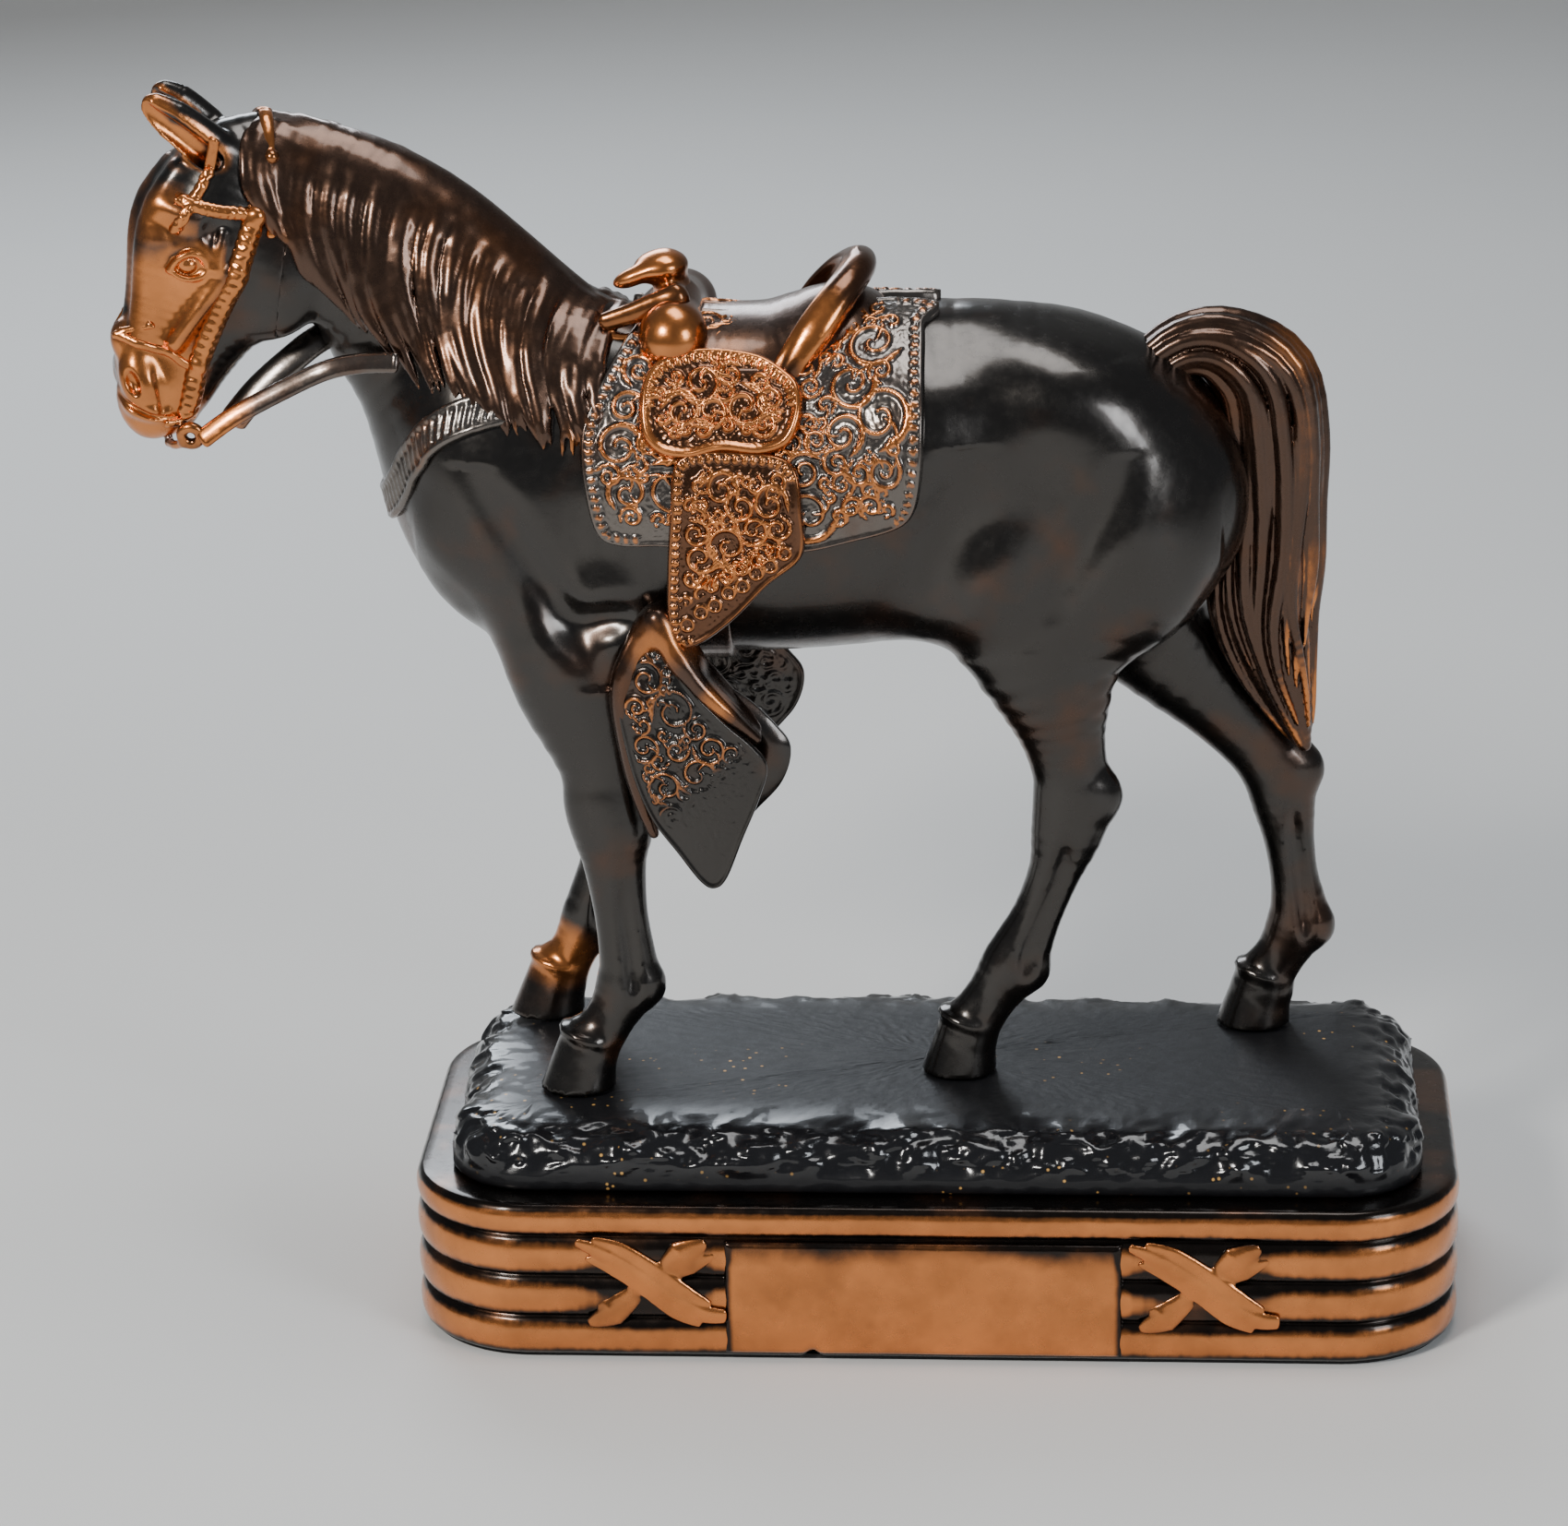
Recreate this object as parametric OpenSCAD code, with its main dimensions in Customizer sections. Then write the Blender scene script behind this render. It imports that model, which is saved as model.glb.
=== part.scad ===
// A saddled western horse standing on a reeded plinth: a plated cast-metal
// statuette.  Millimetres, +Z up, the horse faces -X and its near (left) side
// is towards -Y.  The origin is the centre of the felt's underside.

/* [Plinth] */
// Length of the plinth along the horse
plinth_length = 180; // [168:1:200]
// Depth of the plinth across the horse
plinth_depth = 84; // [78:1:100]
// Height of the plinth's top edge above the table
plinth_height = 28.5; // [24:0.5:34]
// Corner radius of the plinth seen from above
plinth_corner = 21; // [16:1:30]
// Number of rounded reeds round the plinth
reed_count = 4; // [3:1:6]
// Depth of the groove between two reeds
reed_groove = 1.7; // [0.8:0.1:2.4]
// Thickness of the felt pad under the plinth
felt_thickness = 0.8; // [0.5:0.1:2]

/* [Ground] */
// Height of the rocky ground above the plinth's edge
ground_rise = 11.2; // [9:0.1:14]
// Ledge left between the plinth's edge and the ground's foot
ground_ledge = 5; // [3:0.5:7]
// How far the rocks stand in and out of the smooth ground
rock_relief = 0.7; // [0:0.1:1]

/* [Horse] */
// Distance of the horse's mid-plane behind the plinth's centre line
horse_y = 3; // [0:0.5:6]
// Angle that the head turns towards the near side
head_turn = 20; // [0:1:24]
// Thickness of the mane over the neck
mane_depth = 1.8; // [1:0.1:3]

/* [Tack] */
// Thickness of the saddle skirts over the barrel
skirt_thickness = 1.6; // [1:0.1:2.4]
// Thickness of the side jockeys over the skirts
jockey_thickness = 1.8; // [1:0.1:2.4]
// Thickness of the narrow bridle and breast straps
strap_thickness = 1; // [0.6:0.1:1.6]

/* [Fixings] */
// Diameter of the studs that hold the hooves to the base
stud_diameter = 3; // [2.4:0.1:3.2]
// Radial room round the studs where they pass through the base
stud_room = 0.15; // [0.1:0.05:0.4]

/* [Hidden] */

dark_bronze = [0.10, 0.09, 0.08];
black_bronze = [0.04, 0.04, 0.04];
copper = [0.72, 0.36, 0.18];
worn_copper = [0.45, 0.24, 0.13];
steel = [0.6, 0.6, 0.6];
felt_green = [0.10, 0.22, 0.14];

barrel_sides = 28;
limb_sides = 12;
small_sides = 10;
wall = 2.5;
far_reach = 60;         // further than any part of the horse from its mid-plane
shell_sink = 0.6;       // how far a hidden cutter starts behind a visible face
reed_height = (plinth_height - felt_thickness) / reed_count;
ground_top = plinth_height + ground_rise;
stud_radius = stud_diameter / 2;
poll = [-109, horse_y, 196];

// Stations along each casting: [x, y from the mid-plane, z, half depth, half width]
torso_stations = [
    [-92, 0, 141, 3, 6], [-89, 0, 142.5, 12, 13], [-81, 0, 144, 23.5, 19], [-70, 0, 145, 30, 21.5],
    [-58, 0, 145.5, 31, 22], [-42, 0, 144, 29.5, 23.5], [-25, 0, 143.6, 28.8, 24.5],
    [-8, 0, 145.8, 29, 24.2], [6, 0, 147.8, 26.8, 22], [17, 0, 145.8, 27.8, 22.5], [27, 0, 142.8, 27.2, 21.5],
    [35, 0, 140.5, 22.5, 18.5], [40.5, 0, 140, 16, 13], [43.2, 0, 140, 6, 5]
];
neck_stations = [
    [-67, 0, 151, 26, 13], [-75, 0, 163, 25.5, 15.5], [-83, 0, 171.5, 22.5, 13], [-93, 0, 183, 18, 10],
    [-102, 0, 191, 15, 8.2], [-111, 0, 195, 12, 7.5], [-115, 0, 195.5, 8, 6]
];
head_stations = [
    [-113, 0, 201.5, 6, 5], [-116, 0, 199, 10, 7.5], [-119.5, 0, 193.5, 12, 9.2], [-121, 0, 185.5, 13, 9.8],
    [-122.6, 0, 177.5, 12, 8.6], [-126, 0, 169.5, 9.6, 6.8], [-129.4, 0, 162.5, 8.4, 6],
    [-131, 0, 157, 7.4, 6], [-131.2, 0, 153.8, 5, 4.6], [-131, 0, 152.3, 2, 2]
];
near_ear_stations = [
    [-117.5, -4, 196, 3.6, 2.6], [-121.5, -5, 201, 3.6, 2.6], [-126, -6, 207, 2.6, 2], [-129.8, -6.4, 212.2, 0.7, 0.7]
];
far_ear_stations = [
    [-116.5, 4, 199, 3.4, 2.6], [-118.5, 5, 203.5, 3.4, 2.6], [-122, 6, 208.5, 2.5, 2], [-126, 6.4, 212.4, 0.7, 0.7]
];
tail_stations = [
    [33, 0, 162, 5, 5], [41, 0.5, 167, 6, 5.6], [49, 1.5, 166.4, 8.6, 6.2], [56.2, 2.5, 158.4, 10.2, 6.8],
    [57.6, 3.5, 147, 10, 6.8], [57, 4, 136, 10.2, 6.8], [56.4, 4.5, 126, 10.6, 6.4], [58, 5, 115.5, 8.6, 6],
    [61, 6, 105.5, 5.4, 4.6], [63.4, 6.5, 98.5, 2.8, 3], [64, 6.5, 94, 1, 1.2]
];
near_foreleg_stations = [
    [-60, -9, 134, 17, 8], [-59.5, -12, 120, 13.5, 8.5], [-57.5, -14, 106, 10, 7], [-56, -15, 95, 7.6, 5.8],
    [-55.3, -15.6, 87, 7.2, 5.6], [-54.9, -16, 79, 5.6, 4.6], [-53.6, -16.4, 68, 4.8, 4],
    [-53, -16.6, 60, 5.4, 4.3], [-56.5, -17, 52.5, 4.4, 4], [-60, -17.6, 46, 5.4, 5], [-61.6, -18, 38.5, 6.6, 6]
];
far_foreleg_stations = [
    [-62, 9, 134, 16, 8], [-61, 12, 120, 12.5, 8.5], [-59, 14, 106, 9.6, 7], [-58, 15, 95, 7.4, 5.8],
    [-57.6, 15.6, 87, 6.8, 5.4], [-58, 16, 79, 5.4, 4.6], [-59.5, 16.4, 68, 4.8, 4],
    [-62, 16.6, 59, 5.4, 4.3], [-66, 16.8, 51.5, 4.4, 4], [-68.6, 17, 46, 5.4, 5], [-70, 17, 38.5, 6.6, 6]
];
near_hind_stations = [
    [17, -9, 134, 21, 8.5], [17.5, -11, 122, 15.5, 8.5], [20, -11, 111, 10.6, 7.2], [21.8, -10.8, 101.5, 7.4, 5.6],
    [23.4, -10.4, 91.5, 7.1, 5.2], [21.6, -10, 81, 5.4, 4.4], [18.2, -9.6, 71, 4.5, 4],
    [14.2, -9.2, 61.5, 5.6, 4.4], [9.4, -9, 53.5, 4.8, 4.2], [5.6, -9, 46.5, 5.8, 5], [4.2, -9, 38.5, 7, 6]
];
far_hind_stations = [
    [26, 9, 132, 17, 8.5], [31.5, 11, 120, 13.5, 8.2], [40.5, 11.8, 109, 10, 7], [49.5, 12.4, 99.5, 7.4, 5.6],
    [58.6, 13, 88.5, 6.8, 5.2], [60.4, 13.4, 79, 4.8, 4.4], [61.8, 13.8, 69.5, 4.4, 4],
    [62.6, 14, 60.5, 5.5, 4.4], [59.6, 14.2, 53, 4.6, 4.2], [56.6, 14.4, 46.5, 6.2, 5], [55.4, 14.4, 38.5, 7.4, 6]
];
seat_stations = [
    [-46, 0, 165, 11, 14], [-41, 0, 164.6, 12.6, 17.5], [-34, 0, 163.6, 12.6, 18.6],
    [-26, 0, 163.8, 12.8, 18.6], [-19, 0, 165, 13.8, 17.5], [-15, 0, 167, 13, 13]
];
horn_stations = [
    [-44, 0, 175.6, 2.6, 2.8], [-44.6, 0, 179, 2.2, 2.4], [-46, 0, 181.2, 3.6, 3.6],
    [-47, 0, 183, 4.3, 4.3], [-47.4, 0, 184.2, 2.6, 2.6]
];

// Outlines of the flat leathers, in X and Z, before they are bent over the barrel
skirt_outline = [
    [-2, 180], [-0.6, 168], [-0.6, 157], [-2.4, 146], [-6, 142], [-21, 137.6], [-36, 136.5], [-43, 139.2],
    [-53, 138.8], [-57, 142.6], [-58.6, 151], [-57.6, 162], [-52.5, 171.5], [-50, 180]
];
jockey_outline = [
    [-21.5, 178], [-20.8, 166], [-21.4, 160], [-24, 156.4], [-31.5, 154.6], [-40.5, 154.4], [-46, 156.2],
    [-47.8, 160.4], [-48, 165], [-45, 170], [-42, 178]
];
fender_outline = [
    [-43, 156], [-44, 145], [-44.6, 130], [-42.6, 122.6], [-34, 125.8], [-20.6, 139.4], [-21, 147], [-22.4, 156]
];
mane_outline = [
    [-112, 214], [-112, 201], [-107, 186], [-98.5, 174], [-90, 163.5], [-80, 157.5], [-71, 158.5], [-60, 152.6],
    [-55.5, 158], [-54, 184], [-80, 214]
];
tapadero_outline = [
    [-46, 128], [-51.2, 121], [-53.4, 113.5], [-51, 101], [-47, 91], [-38.6, 80.2], [-35.6, 80.2], [-31, 90],
    [-27.6, 100.4], [-29.4, 105.4], [-34, 110], [-41, 118]
];
stud_places = [
    [-61.4, horse_y - 18], [-70, horse_y + 17], [4.4, horse_y - 9], [55.6, horse_y + 14.4]
];

// Points between stations, on a smooth curve that passes through each of them
function curve(a, b, c, d, t) =
    0.5 * (2 * b + (c - a) * t + (2 * a - 5 * b + 4 * c - d) * t * t + (3 * b - a - 3 * c + d) * t * t * t);
function smooth(s, steps) = let (last = len(s) - 1) [
    for (i = [0:last - 1], k = [0:steps - 1])
        curve(s[max(i - 1, 0)], s[i], s[i + 1], s[min(i + 2, last)], k / steps),
    s[last]
];
// Direction of travel at station i, as an angle in the XZ plane
function heading(s, i) = let (a = s[max(i - 1, 0)], b = s[min(i + 1, len(s) - 1)]) atan2(b[2] - a[2], b[0] - a[0]);
// One oval ring square to the travel, its middle moved to the mid-plane
function ring(s, turn, sides, grow) = [
    for (k = [0:sides - 1]) let (a = 360 * k / sides, lift = (s[3] + grow) * cos(a)) [
        s[0] - lift * sin(turn),
        horse_y + s[1] + (s[4] + grow) * sin(a),
        s[2] + lift * cos(turn)
    ]
];
// Triangles that join ring after ring of the same number of points, and two end caps
function skin(rings, sides) = concat(
    [[for (k = [sides - 1:-1:0]) k]],
    [for (i = [0:rings - 2], k = [0:sides - 1]) let (a = i * sides + k, b = i * sides + (k + 1) % sides)
        each [[a, b, a + sides], [b, b + sides, a + sides]]],
    [[for (k = [0:sides - 1]) (rings - 1) * sides + k]]
);
module loft(stations, sides = limb_sides, steps = 2, grow = 0) {
    s = smooth(stations, steps);
    polyhedron([for (i = [0:len(s) - 1]) each ring(s[i], heading(s, i), sides, grow)], skin(len(s), sides));
}
// Solids worked out as one closed skin
module one_skin() resize([0, 0, 0]) children();

// A rounded rectangle stepped in from the plinth's outline, as points at one height
corner_steps = 6;
stack_sides = 4 * (corner_steps + 1);
function corner_sign(q) = [q == 0 || q == 3 ? 1 : -1, q < 2 ? 1 : -1];
function rounded(inset, z, rough = 0) = let (
    r = max(plinth_corner - inset, 2),
    mid = [plinth_length / 2 - inset - r, plinth_depth / 2 - inset - r]
) [
    for (q = [3:-1:0], k = [corner_steps:-1:0]) let (
        a = 90 * q + 90 * k / corner_steps,
        wave = rough * (sin(z * 211 + a * 7) + cos(z * 97 + a * 13)) / 2
    ) [corner_sign(q)[0] * mid[0] + (r + wave) * cos(a), corner_sign(q)[1] * mid[1] + (r + wave) * sin(a), z]
];
module stack(profile) polyhedron(
    [for (p = profile) each rounded(p[0], p[1], len(p) > 2 ? p[2] : 0)],
    skin(len(profile), stack_sides)
);

reed_arc = [0, 30, 60, 90, 120, 150];
plinth_profile = concat(
    [for (i = [0:reed_count - 1], a = reed_arc)
        [reed_groove * (1 - sin(a)), felt_thickness + reed_height * (i + (1 - cos(a)) / 2)]],
    [[reed_groove * 1.2, plinth_height]]
);
ground_foot = ground_ledge + 0.5;
ground_profile = [
    [ground_foot + 0.6, plinth_height, 0],
    [ground_foot, plinth_height + 0.1 * ground_rise, 0],
    [ground_foot + 0.6, plinth_height + 0.34 * ground_rise, rock_relief],
    [ground_foot + 2, plinth_height + 0.56 * ground_rise, rock_relief],
    [ground_foot + 4.6, plinth_height + 0.76 * ground_rise, rock_relief],
    [ground_foot + 9, plinth_height + 0.88 * ground_rise, rock_relief],
    [ground_foot + 17, plinth_height + 0.96 * ground_rise, 0],
    [ground_foot + 27, ground_top, 0]
];
module outer_plinth() stack(plinth_profile);
module outer_ground() stack(ground_profile);
module all_studs(radius, low, high, fn = 24) for (p = stud_places) translate([p[0], p[1], low])
    cylinder(r = radius, h = high - low, $fn = fn);

// ---- Base ----
module felt_pad() {
    edge = 2;
    color(felt_green) linear_extrude(felt_thickness) offset_square(edge);
}
// The plinth's outline stepped in by inset, with exact round corners
module offset_square(inset) {
    r = plinth_corner - inset;
    x = plinth_length / 2 - inset - r;
    y = plinth_depth / 2 - inset - r;
    square([2 * x + 2 * r, 2 * y], center = true);
    square([2 * x, 2 * y + 2 * r], center = true);
    for (sx = [-1, 1], sy = [-1, 1]) translate([sx * x, sy * y]) circle(r, $fn = 48);
}
panel_half = 34;
panel_proud = 0.4;
module panel_block(side) translate([0, side * plinth_depth / 2, 0]) {
    low = felt_thickness + 0.3;
    deep = reed_groove + shell_sink;
    translate([-panel_half, side > 0 ? -deep : -panel_proud, low])
        cube([2 * panel_half, deep + panel_proud, plinth_height - reed_height - low]);
}
module plinth() color(copper) difference() {
    one_skin() difference() {
        outer_plinth();
        stack([
            [wall + reed_groove, felt_thickness - 1],
            [wall + reed_groove, plinth_height - wall]
        ]);
        panel_block(-1);
        panel_block(1);
    }
    all_studs(stud_radius + stud_room, plinth_height - 2 * wall, plinth_height + 1);
}
module front_panel() color(copper) panel_block(-1);
module back_panel() color(copper) panel_block(1);

// Two crossed ribbons bound over the reeds
lashing_x = 48;
lashing_lean = 56;
lashing_length = 27;
ribbon_half = 3.4;
module ribbon(lean, proud) rotate([0, lean, 0]) translate([0, 0, -lashing_length / 2])
    linear_extrude(lashing_length) intersection() {
        translate([0, ribbon_half]) scale([1, 1.1]) circle(ribbon_half + proud, $fn = 24);
        translate([-ribbon_half, -ribbon_half]) square([2 * ribbon_half, 2 * ribbon_half]);
    }
module lashing(x, side) {
    mid_z = (plinth_height - reed_height + felt_thickness) / 2 + 1.5;
    color(copper) one_skin() difference() {
        translate([x, side * plinth_depth / 2, mid_z]) mirror([0, side > 0 ? 1 : 0, 0]) {
            ribbon(lashing_lean, 0.9);
            ribbon(-lashing_lean, 0.3);
        }
        outer_plinth();
        panel_block(side);
    }
}
module front_left_lashing() lashing(-lashing_x, -1);
module front_right_lashing() lashing(lashing_x, -1);
module back_left_lashing() lashing(-lashing_x, 1);
module back_right_lashing() lashing(lashing_x, 1);

module ground() color(black_bronze) difference() {
    one_skin() outer_ground();
    all_studs(stud_radius + stud_room, plinth_height - 1, ground_top + 1);
}

// ---- Fixings ----
stud_low = plinth_height - 9;
stud_high = ground_top + 6;
washer_height = 0.8;
nut_height = 2.4;
module hoof_studs() color(steel) all_studs(stud_radius, stud_low, stud_high);
module stud_washers() color(steel) difference() {
    all_studs(stud_radius * 2.3, plinth_height - wall - washer_height, plinth_height - wall);
    all_studs(stud_radius + stud_room, stud_low - 1, plinth_height);
}
module stud_nuts() color(steel) difference() {
    for (p = stud_places) translate([p[0], p[1], plinth_height - wall - washer_height - nut_height])
        cylinder(r = stud_radius * 2.1, h = nut_height, $fn = 6);
    all_studs(stud_radius, stud_low - 1, plinth_height);
}

// ---- Horse castings ----
module torso_form(grow = 0) loft(torso_stations, barrel_sides, 2, grow);
module neck_form(grow = 0) loft(neck_stations, 20, 2, grow);
module head_form(grow = 0) translate(poll) rotate([0, 0, head_turn]) translate(-poll)
    loft(head_stations, 16, 2, grow);
module turned() translate(poll) rotate([0, 0, head_turn]) translate(-poll) children();

module torso() color(dark_bronze) one_skin() torso_form();
module neck() color(dark_bronze) one_skin() difference() {
    neck_form();
    torso_form();
}
module head() color(copper) one_skin() difference() {
    head_form();
    neck_form();
}
module ear(stations) color(copper) one_skin() difference() {
    turned() loft(stations, small_sides, 3);
    head_form();
    neck_form();
}
module near_ear() ear(near_ear_stations);
module far_ear() ear(far_ear_stations);
// The mane falls over the near side; far_fall is how far it reaches past the crest
far_fall = 5;
module mane_room() intersection() {
    neck_form(mane_depth);
    translate([0, horse_y + far_fall, 0]) rotate([90, 0, 0]) linear_extrude(far_reach) polygon(mane_outline);
}
module mane() color(worn_copper) one_skin() difference() {
    mane_room();
    neck_form();
    torso_form();
    head_form();
}
module tail() color(worn_copper) one_skin() difference() {
    loft(tail_stations, 14, 2);
    torso_form();
    leg_form(far_hind_stations);
}
module leg_form(stations) loft(stations, limb_sides, 2);
module leg(stations) color(dark_bronze) one_skin() difference() {
    leg_form(stations);
    torso_form();
    outer_ground();
    all_studs(stud_radius / cos(180 / limb_sides), plinth_height, stud_high, limb_sides);
}
module near_foreleg() leg(near_foreleg_stations);
module far_foreleg() leg(far_foreleg_stations);
module near_hind_leg() leg(near_hind_stations);
module far_hind_leg() leg(far_hind_stations);

// ---- Saddle ----
// A leather of one outline, bent over the barrel between two distances from it
module leather(outline, side, inner, outer) one_skin() difference() {
    intersection() {
        torso_form(outer);
        translate([0, horse_y + (side > 0 ? far_reach : 0), 0]) rotate([90, 0, 0])
            linear_extrude(far_reach) polygon(outline);
    }
    torso_form(inner);
    children();
}
module skirt_form(side) leather(skirt_outline, side, 0, skirt_thickness) neck_form(mane_depth);
module skirt(side) color(worn_copper) skirt_form(side);
module near_skirt() skirt(-1);
module far_skirt() skirt(1);
jockey_outer = skirt_thickness + jockey_thickness;
module jockey_form(side) leather(jockey_outline, side, skirt_thickness, jockey_outer) {
    seat_form();
    swell_form();
    cantle_form();
}
module jockey(side) color(copper) jockey_form(side);
module near_jockey() jockey(-1);
module far_jockey() jockey(1);

module seat_form() loft(seat_stations, 20, 2);
module saddle_seat() color(dark_bronze) one_skin() difference() {
    seat_form();
    torso_form(skirt_thickness);
    horn_form();
    swell_form();
    cantle_form();
}
// Swell: a rounded bulge on each side of the fork
swell_place = [-43.4, 11, 172.6];
swell_radius = 5.6;
module swell_form() {
    for (side = [-1, 1]) translate([swell_place[0], horse_y + side * swell_place[1], swell_place[2]])
        sphere(swell_radius, $fn = 14);
    translate([swell_place[0], horse_y, swell_place[2] + 3]) rotate([90, 0, 0])
        cylinder(r = 4.6, h = 2 * swell_place[1], center = true, $fn = 14);
}
module saddle_swell() color(copper) one_skin() difference() {
    swell_form();
    torso_form(skirt_thickness);
}
module horn_form() loft(horn_stations, 14, 2);
module saddle_horn() color(copper) one_skin() difference() {
    horn_form();
    swell_form();
}
// Cantle: an arched rim across the back of the seat, leaning back
cantle_stations = [
    [-24, -16.4, 168, 1.9, 1.8], [-21, -14, 173.4, 1.9, 1.8], [-16.8, -10.5, 178.6, 1.9, 1.8],
    [-13.6, -5, 182, 1.9, 1.8], [-12.4, 0, 182.8, 1.9, 1.8]
];
function mirrored(s) = [for (i = [len(s) - 2:-1:0]) [s[i][0], -s[i][1], s[i][2], s[i][3], s[i][4]]];
function unit(v) = v / norm(v);
// A round rod through the stations [x, y, z, radius, width], for what runs across the horse
module rod(stations, sides = small_sides, lean = [0.9, 0, 0.44], steps = 2) {
    s = smooth(stations, steps);
    last = len(s) - 1;
    at = [for (p = s) [p[0], horse_y + p[1], p[2]]];
    way = [for (i = [0:last]) unit(at[min(i + 1, last)] - at[max(i - 1, 0)])];
    side = [for (d = way) unit(cross(d, lean))];
    polyhedron([for (i = [0:last], k = [0:sides - 1]) let (a = 360 * k / sides)
        at[i] + s[i][3] * cos(a) * side[i] + s[i][4] * sin(a) * cross(side[i], way[i])],
        skin(last + 1, sides));
}
module cantle_form() hull() rod(concat(cantle_stations, mirrored(cantle_stations)));
module cantle() color(copper) one_skin() difference() {
    cantle_form();
    torso_form(skirt_thickness);
}

// Fender: the stirrup leather, which follows the skirt down to the widest part of
// the barrel and hangs straight below that
fender_thickness = 1.6;
fender_half = fender_thickness / 2;
fender_y = 26.3;
fender_bend = 145;
module fender_form(side) {
    leather(fender_outline, side, skirt_thickness, skirt_thickness + fender_thickness);
    intersection() {
        flat_leather(fender_outline, horse_y + side * fender_y, fender_half);
        translate([-far_reach, horse_y - far_reach / 2, 0]) cube([far_reach, far_reach, fender_bend]);
    }
}
module foreleg_form(side) leg_form(side < 0 ? near_foreleg_stations : far_foreleg_stations);
module flat_leather(outline, y, half) translate([0, y + half, 0]) rotate([90, 0, 0])
    linear_extrude(2 * half) polygon(outline);
module fender(side) color(worn_copper) one_skin() difference() {
    fender_form(side);
    torso_form(skirt_thickness);
    jockey_form(side);
}
module near_fender() fender(-1);
module far_fender() fender(1);

// Tapadero: a hooded stirrup cover, closed in front and open behind
tapadero_half = 4.6;
tapadero_skin = 1.5;
tapadero_open = 3.2;
module tapadero(side) {
    y = horse_y + side * (fender_y - tapadero_half + fender_half);
    color(worn_copper) one_skin() difference() {
        flat_leather(tapadero_outline, y, tapadero_half);
        translate([tapadero_open, 0, -tapadero_open])
            flat_leather(tapadero_outline, y, tapadero_half - tapadero_skin);
        fender_form(side);
        foreleg_form(side);
        torso_form();
    }
}
module near_tapadero() tapadero(-1);
module far_tapadero() tapadero(1);

// Cinch: the girth strap, from skirt to skirt under the barrel
cinch_place = -40;
cinch_width = 9;
cinch_low = 100;
cinch_high = 137;
module cinch() color(dark_bronze) one_skin() difference() {
    intersection() {
        torso_form(strap_thickness);
        translate([cinch_place, horse_y - far_reach / 2, cinch_low])
            cube([cinch_width, far_reach, cinch_high - cinch_low]);
    }
    torso_form();
    for (side = [-1, 1]) {
        skirt_form(side);
        fender_form(side);
        foreleg_form(side);
    }
}

// ---- Breast collar and bridle ----
// A slab across the horse, leaning by an angle, that picks a band out of a thin layer
module band(place, lean, width) translate([place[0], horse_y, place[1]]) rotate([0, lean, 0])
    cube([width, 2 * far_reach, 2 * far_reach], center = true);
collar_middle = [-81, 152];
collar_lean = 62;
collar_width = 5.6;
collar_front = -100;
collar_back = -73;
collar_high = 162;
module breast_collar() color(worn_copper) one_skin() difference() {
    intersection() {
        union() {
            torso_form(strap_thickness);
            neck_form(strap_thickness);
        }
        band(collar_middle, collar_lean, collar_width);
        translate([collar_front, horse_y - far_reach / 2, 0])
            cube([collar_back - collar_front, far_reach, collar_high]);
    }
    torso_form();
    neck_form();
    mane_room();
}
module head_band(place, lean, width) color(copper) one_skin() difference() {
    intersection() {
        head_form(strap_thickness);
        turned() band(place, lean, width);
    }
    head_form();
    neck_form();
    children();
}
// Headstall: over the poll and down each cheek to the bit
bridle_width = 2.5;
cheek_low = [-126.4, 156];
cheek_high = [-114, 197];
headstall_lean = atan2(cheek_high[0] - cheek_low[0], cheek_high[1] - cheek_low[1]);
module headstall() head_band((cheek_low + cheek_high) / 2, headstall_lean, bridle_width) mane_room();
// The browband ends at the headstall; the noseband passes under the jaw as well
module browband() head_band([-122, 193], 78, bridle_width) {
    headstall_room();
    turned() translate([-116, horse_y - far_reach / 2, 180]) cube([20, far_reach, 30]);
}
module noseband() head_band([-127, 167], 84, bridle_width) headstall_room();
module headstall_room() intersection() {
    head_form(2 * strap_thickness);
    turned() band((cheek_low + cheek_high) / 2, headstall_lean, bridle_width);
}
// Bit: a bar through the corners of the mouth with a ring at each end
bit_place = [-125.4, 156.2];
bit_half = 7.4;
ring_radius = 2.4;
module bit() color(copper) one_skin() difference() {
    turned() translate([bit_place[0], horse_y, bit_place[1]]) rotate([90, 0, 0]) {
        cylinder(r = 0.9, h = 2 * bit_half, center = true, $fn = 13);
        for (side = [-1, 1]) translate([0, 0, side * bit_half])
            translate([ring_radius, 0, 0]) rotate_extrude($fn = 16) translate([ring_radius, 0]) circle(0.9, $fn = 8);
    }
    head_form(strap_thickness);
}
// Reins: one flat strap on each side, from the bit back to the neck
near_rein_stations = [
    [-122.6, -10.5, 155, 1.5, 1], [-113, -9.5, 158.5, 1.5, 1], [-103, -9.5, 163.6, 1.5, 1],
    [-95, -11, 166.2, 1.5, 1], [-88, -12.6, 167.4, 1.5, 1]
];
far_rein_stations = [
    [-121.6, 2, 157.5, 1.2, 1], [-113, 6, 162, 1.2, 1], [-104, 9.4, 166.5, 1.2, 1],
    [-95, 12, 169, 1.2, 1], [-88, 13, 169.6, 1.2, 1]
];
module rein(stations) color(worn_copper) one_skin() difference() {
    rod(stations, 8, [0, 1, 0]);
    torso_form();
    neck_form();
    mane_room();
    head_form(strap_thickness);
    bit_room();
}
module bit_room() turned() translate([bit_place[0], horse_y, bit_place[1]]) rotate([90, 0, 0])
    translate([ring_radius, 0, 0]) cylinder(r = ring_radius + 1, h = 2 * bit_half + 2, center = true, $fn = 16);
module near_rein() rein(near_rein_stations);
module far_rein() rein(far_rein_stations);

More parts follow.
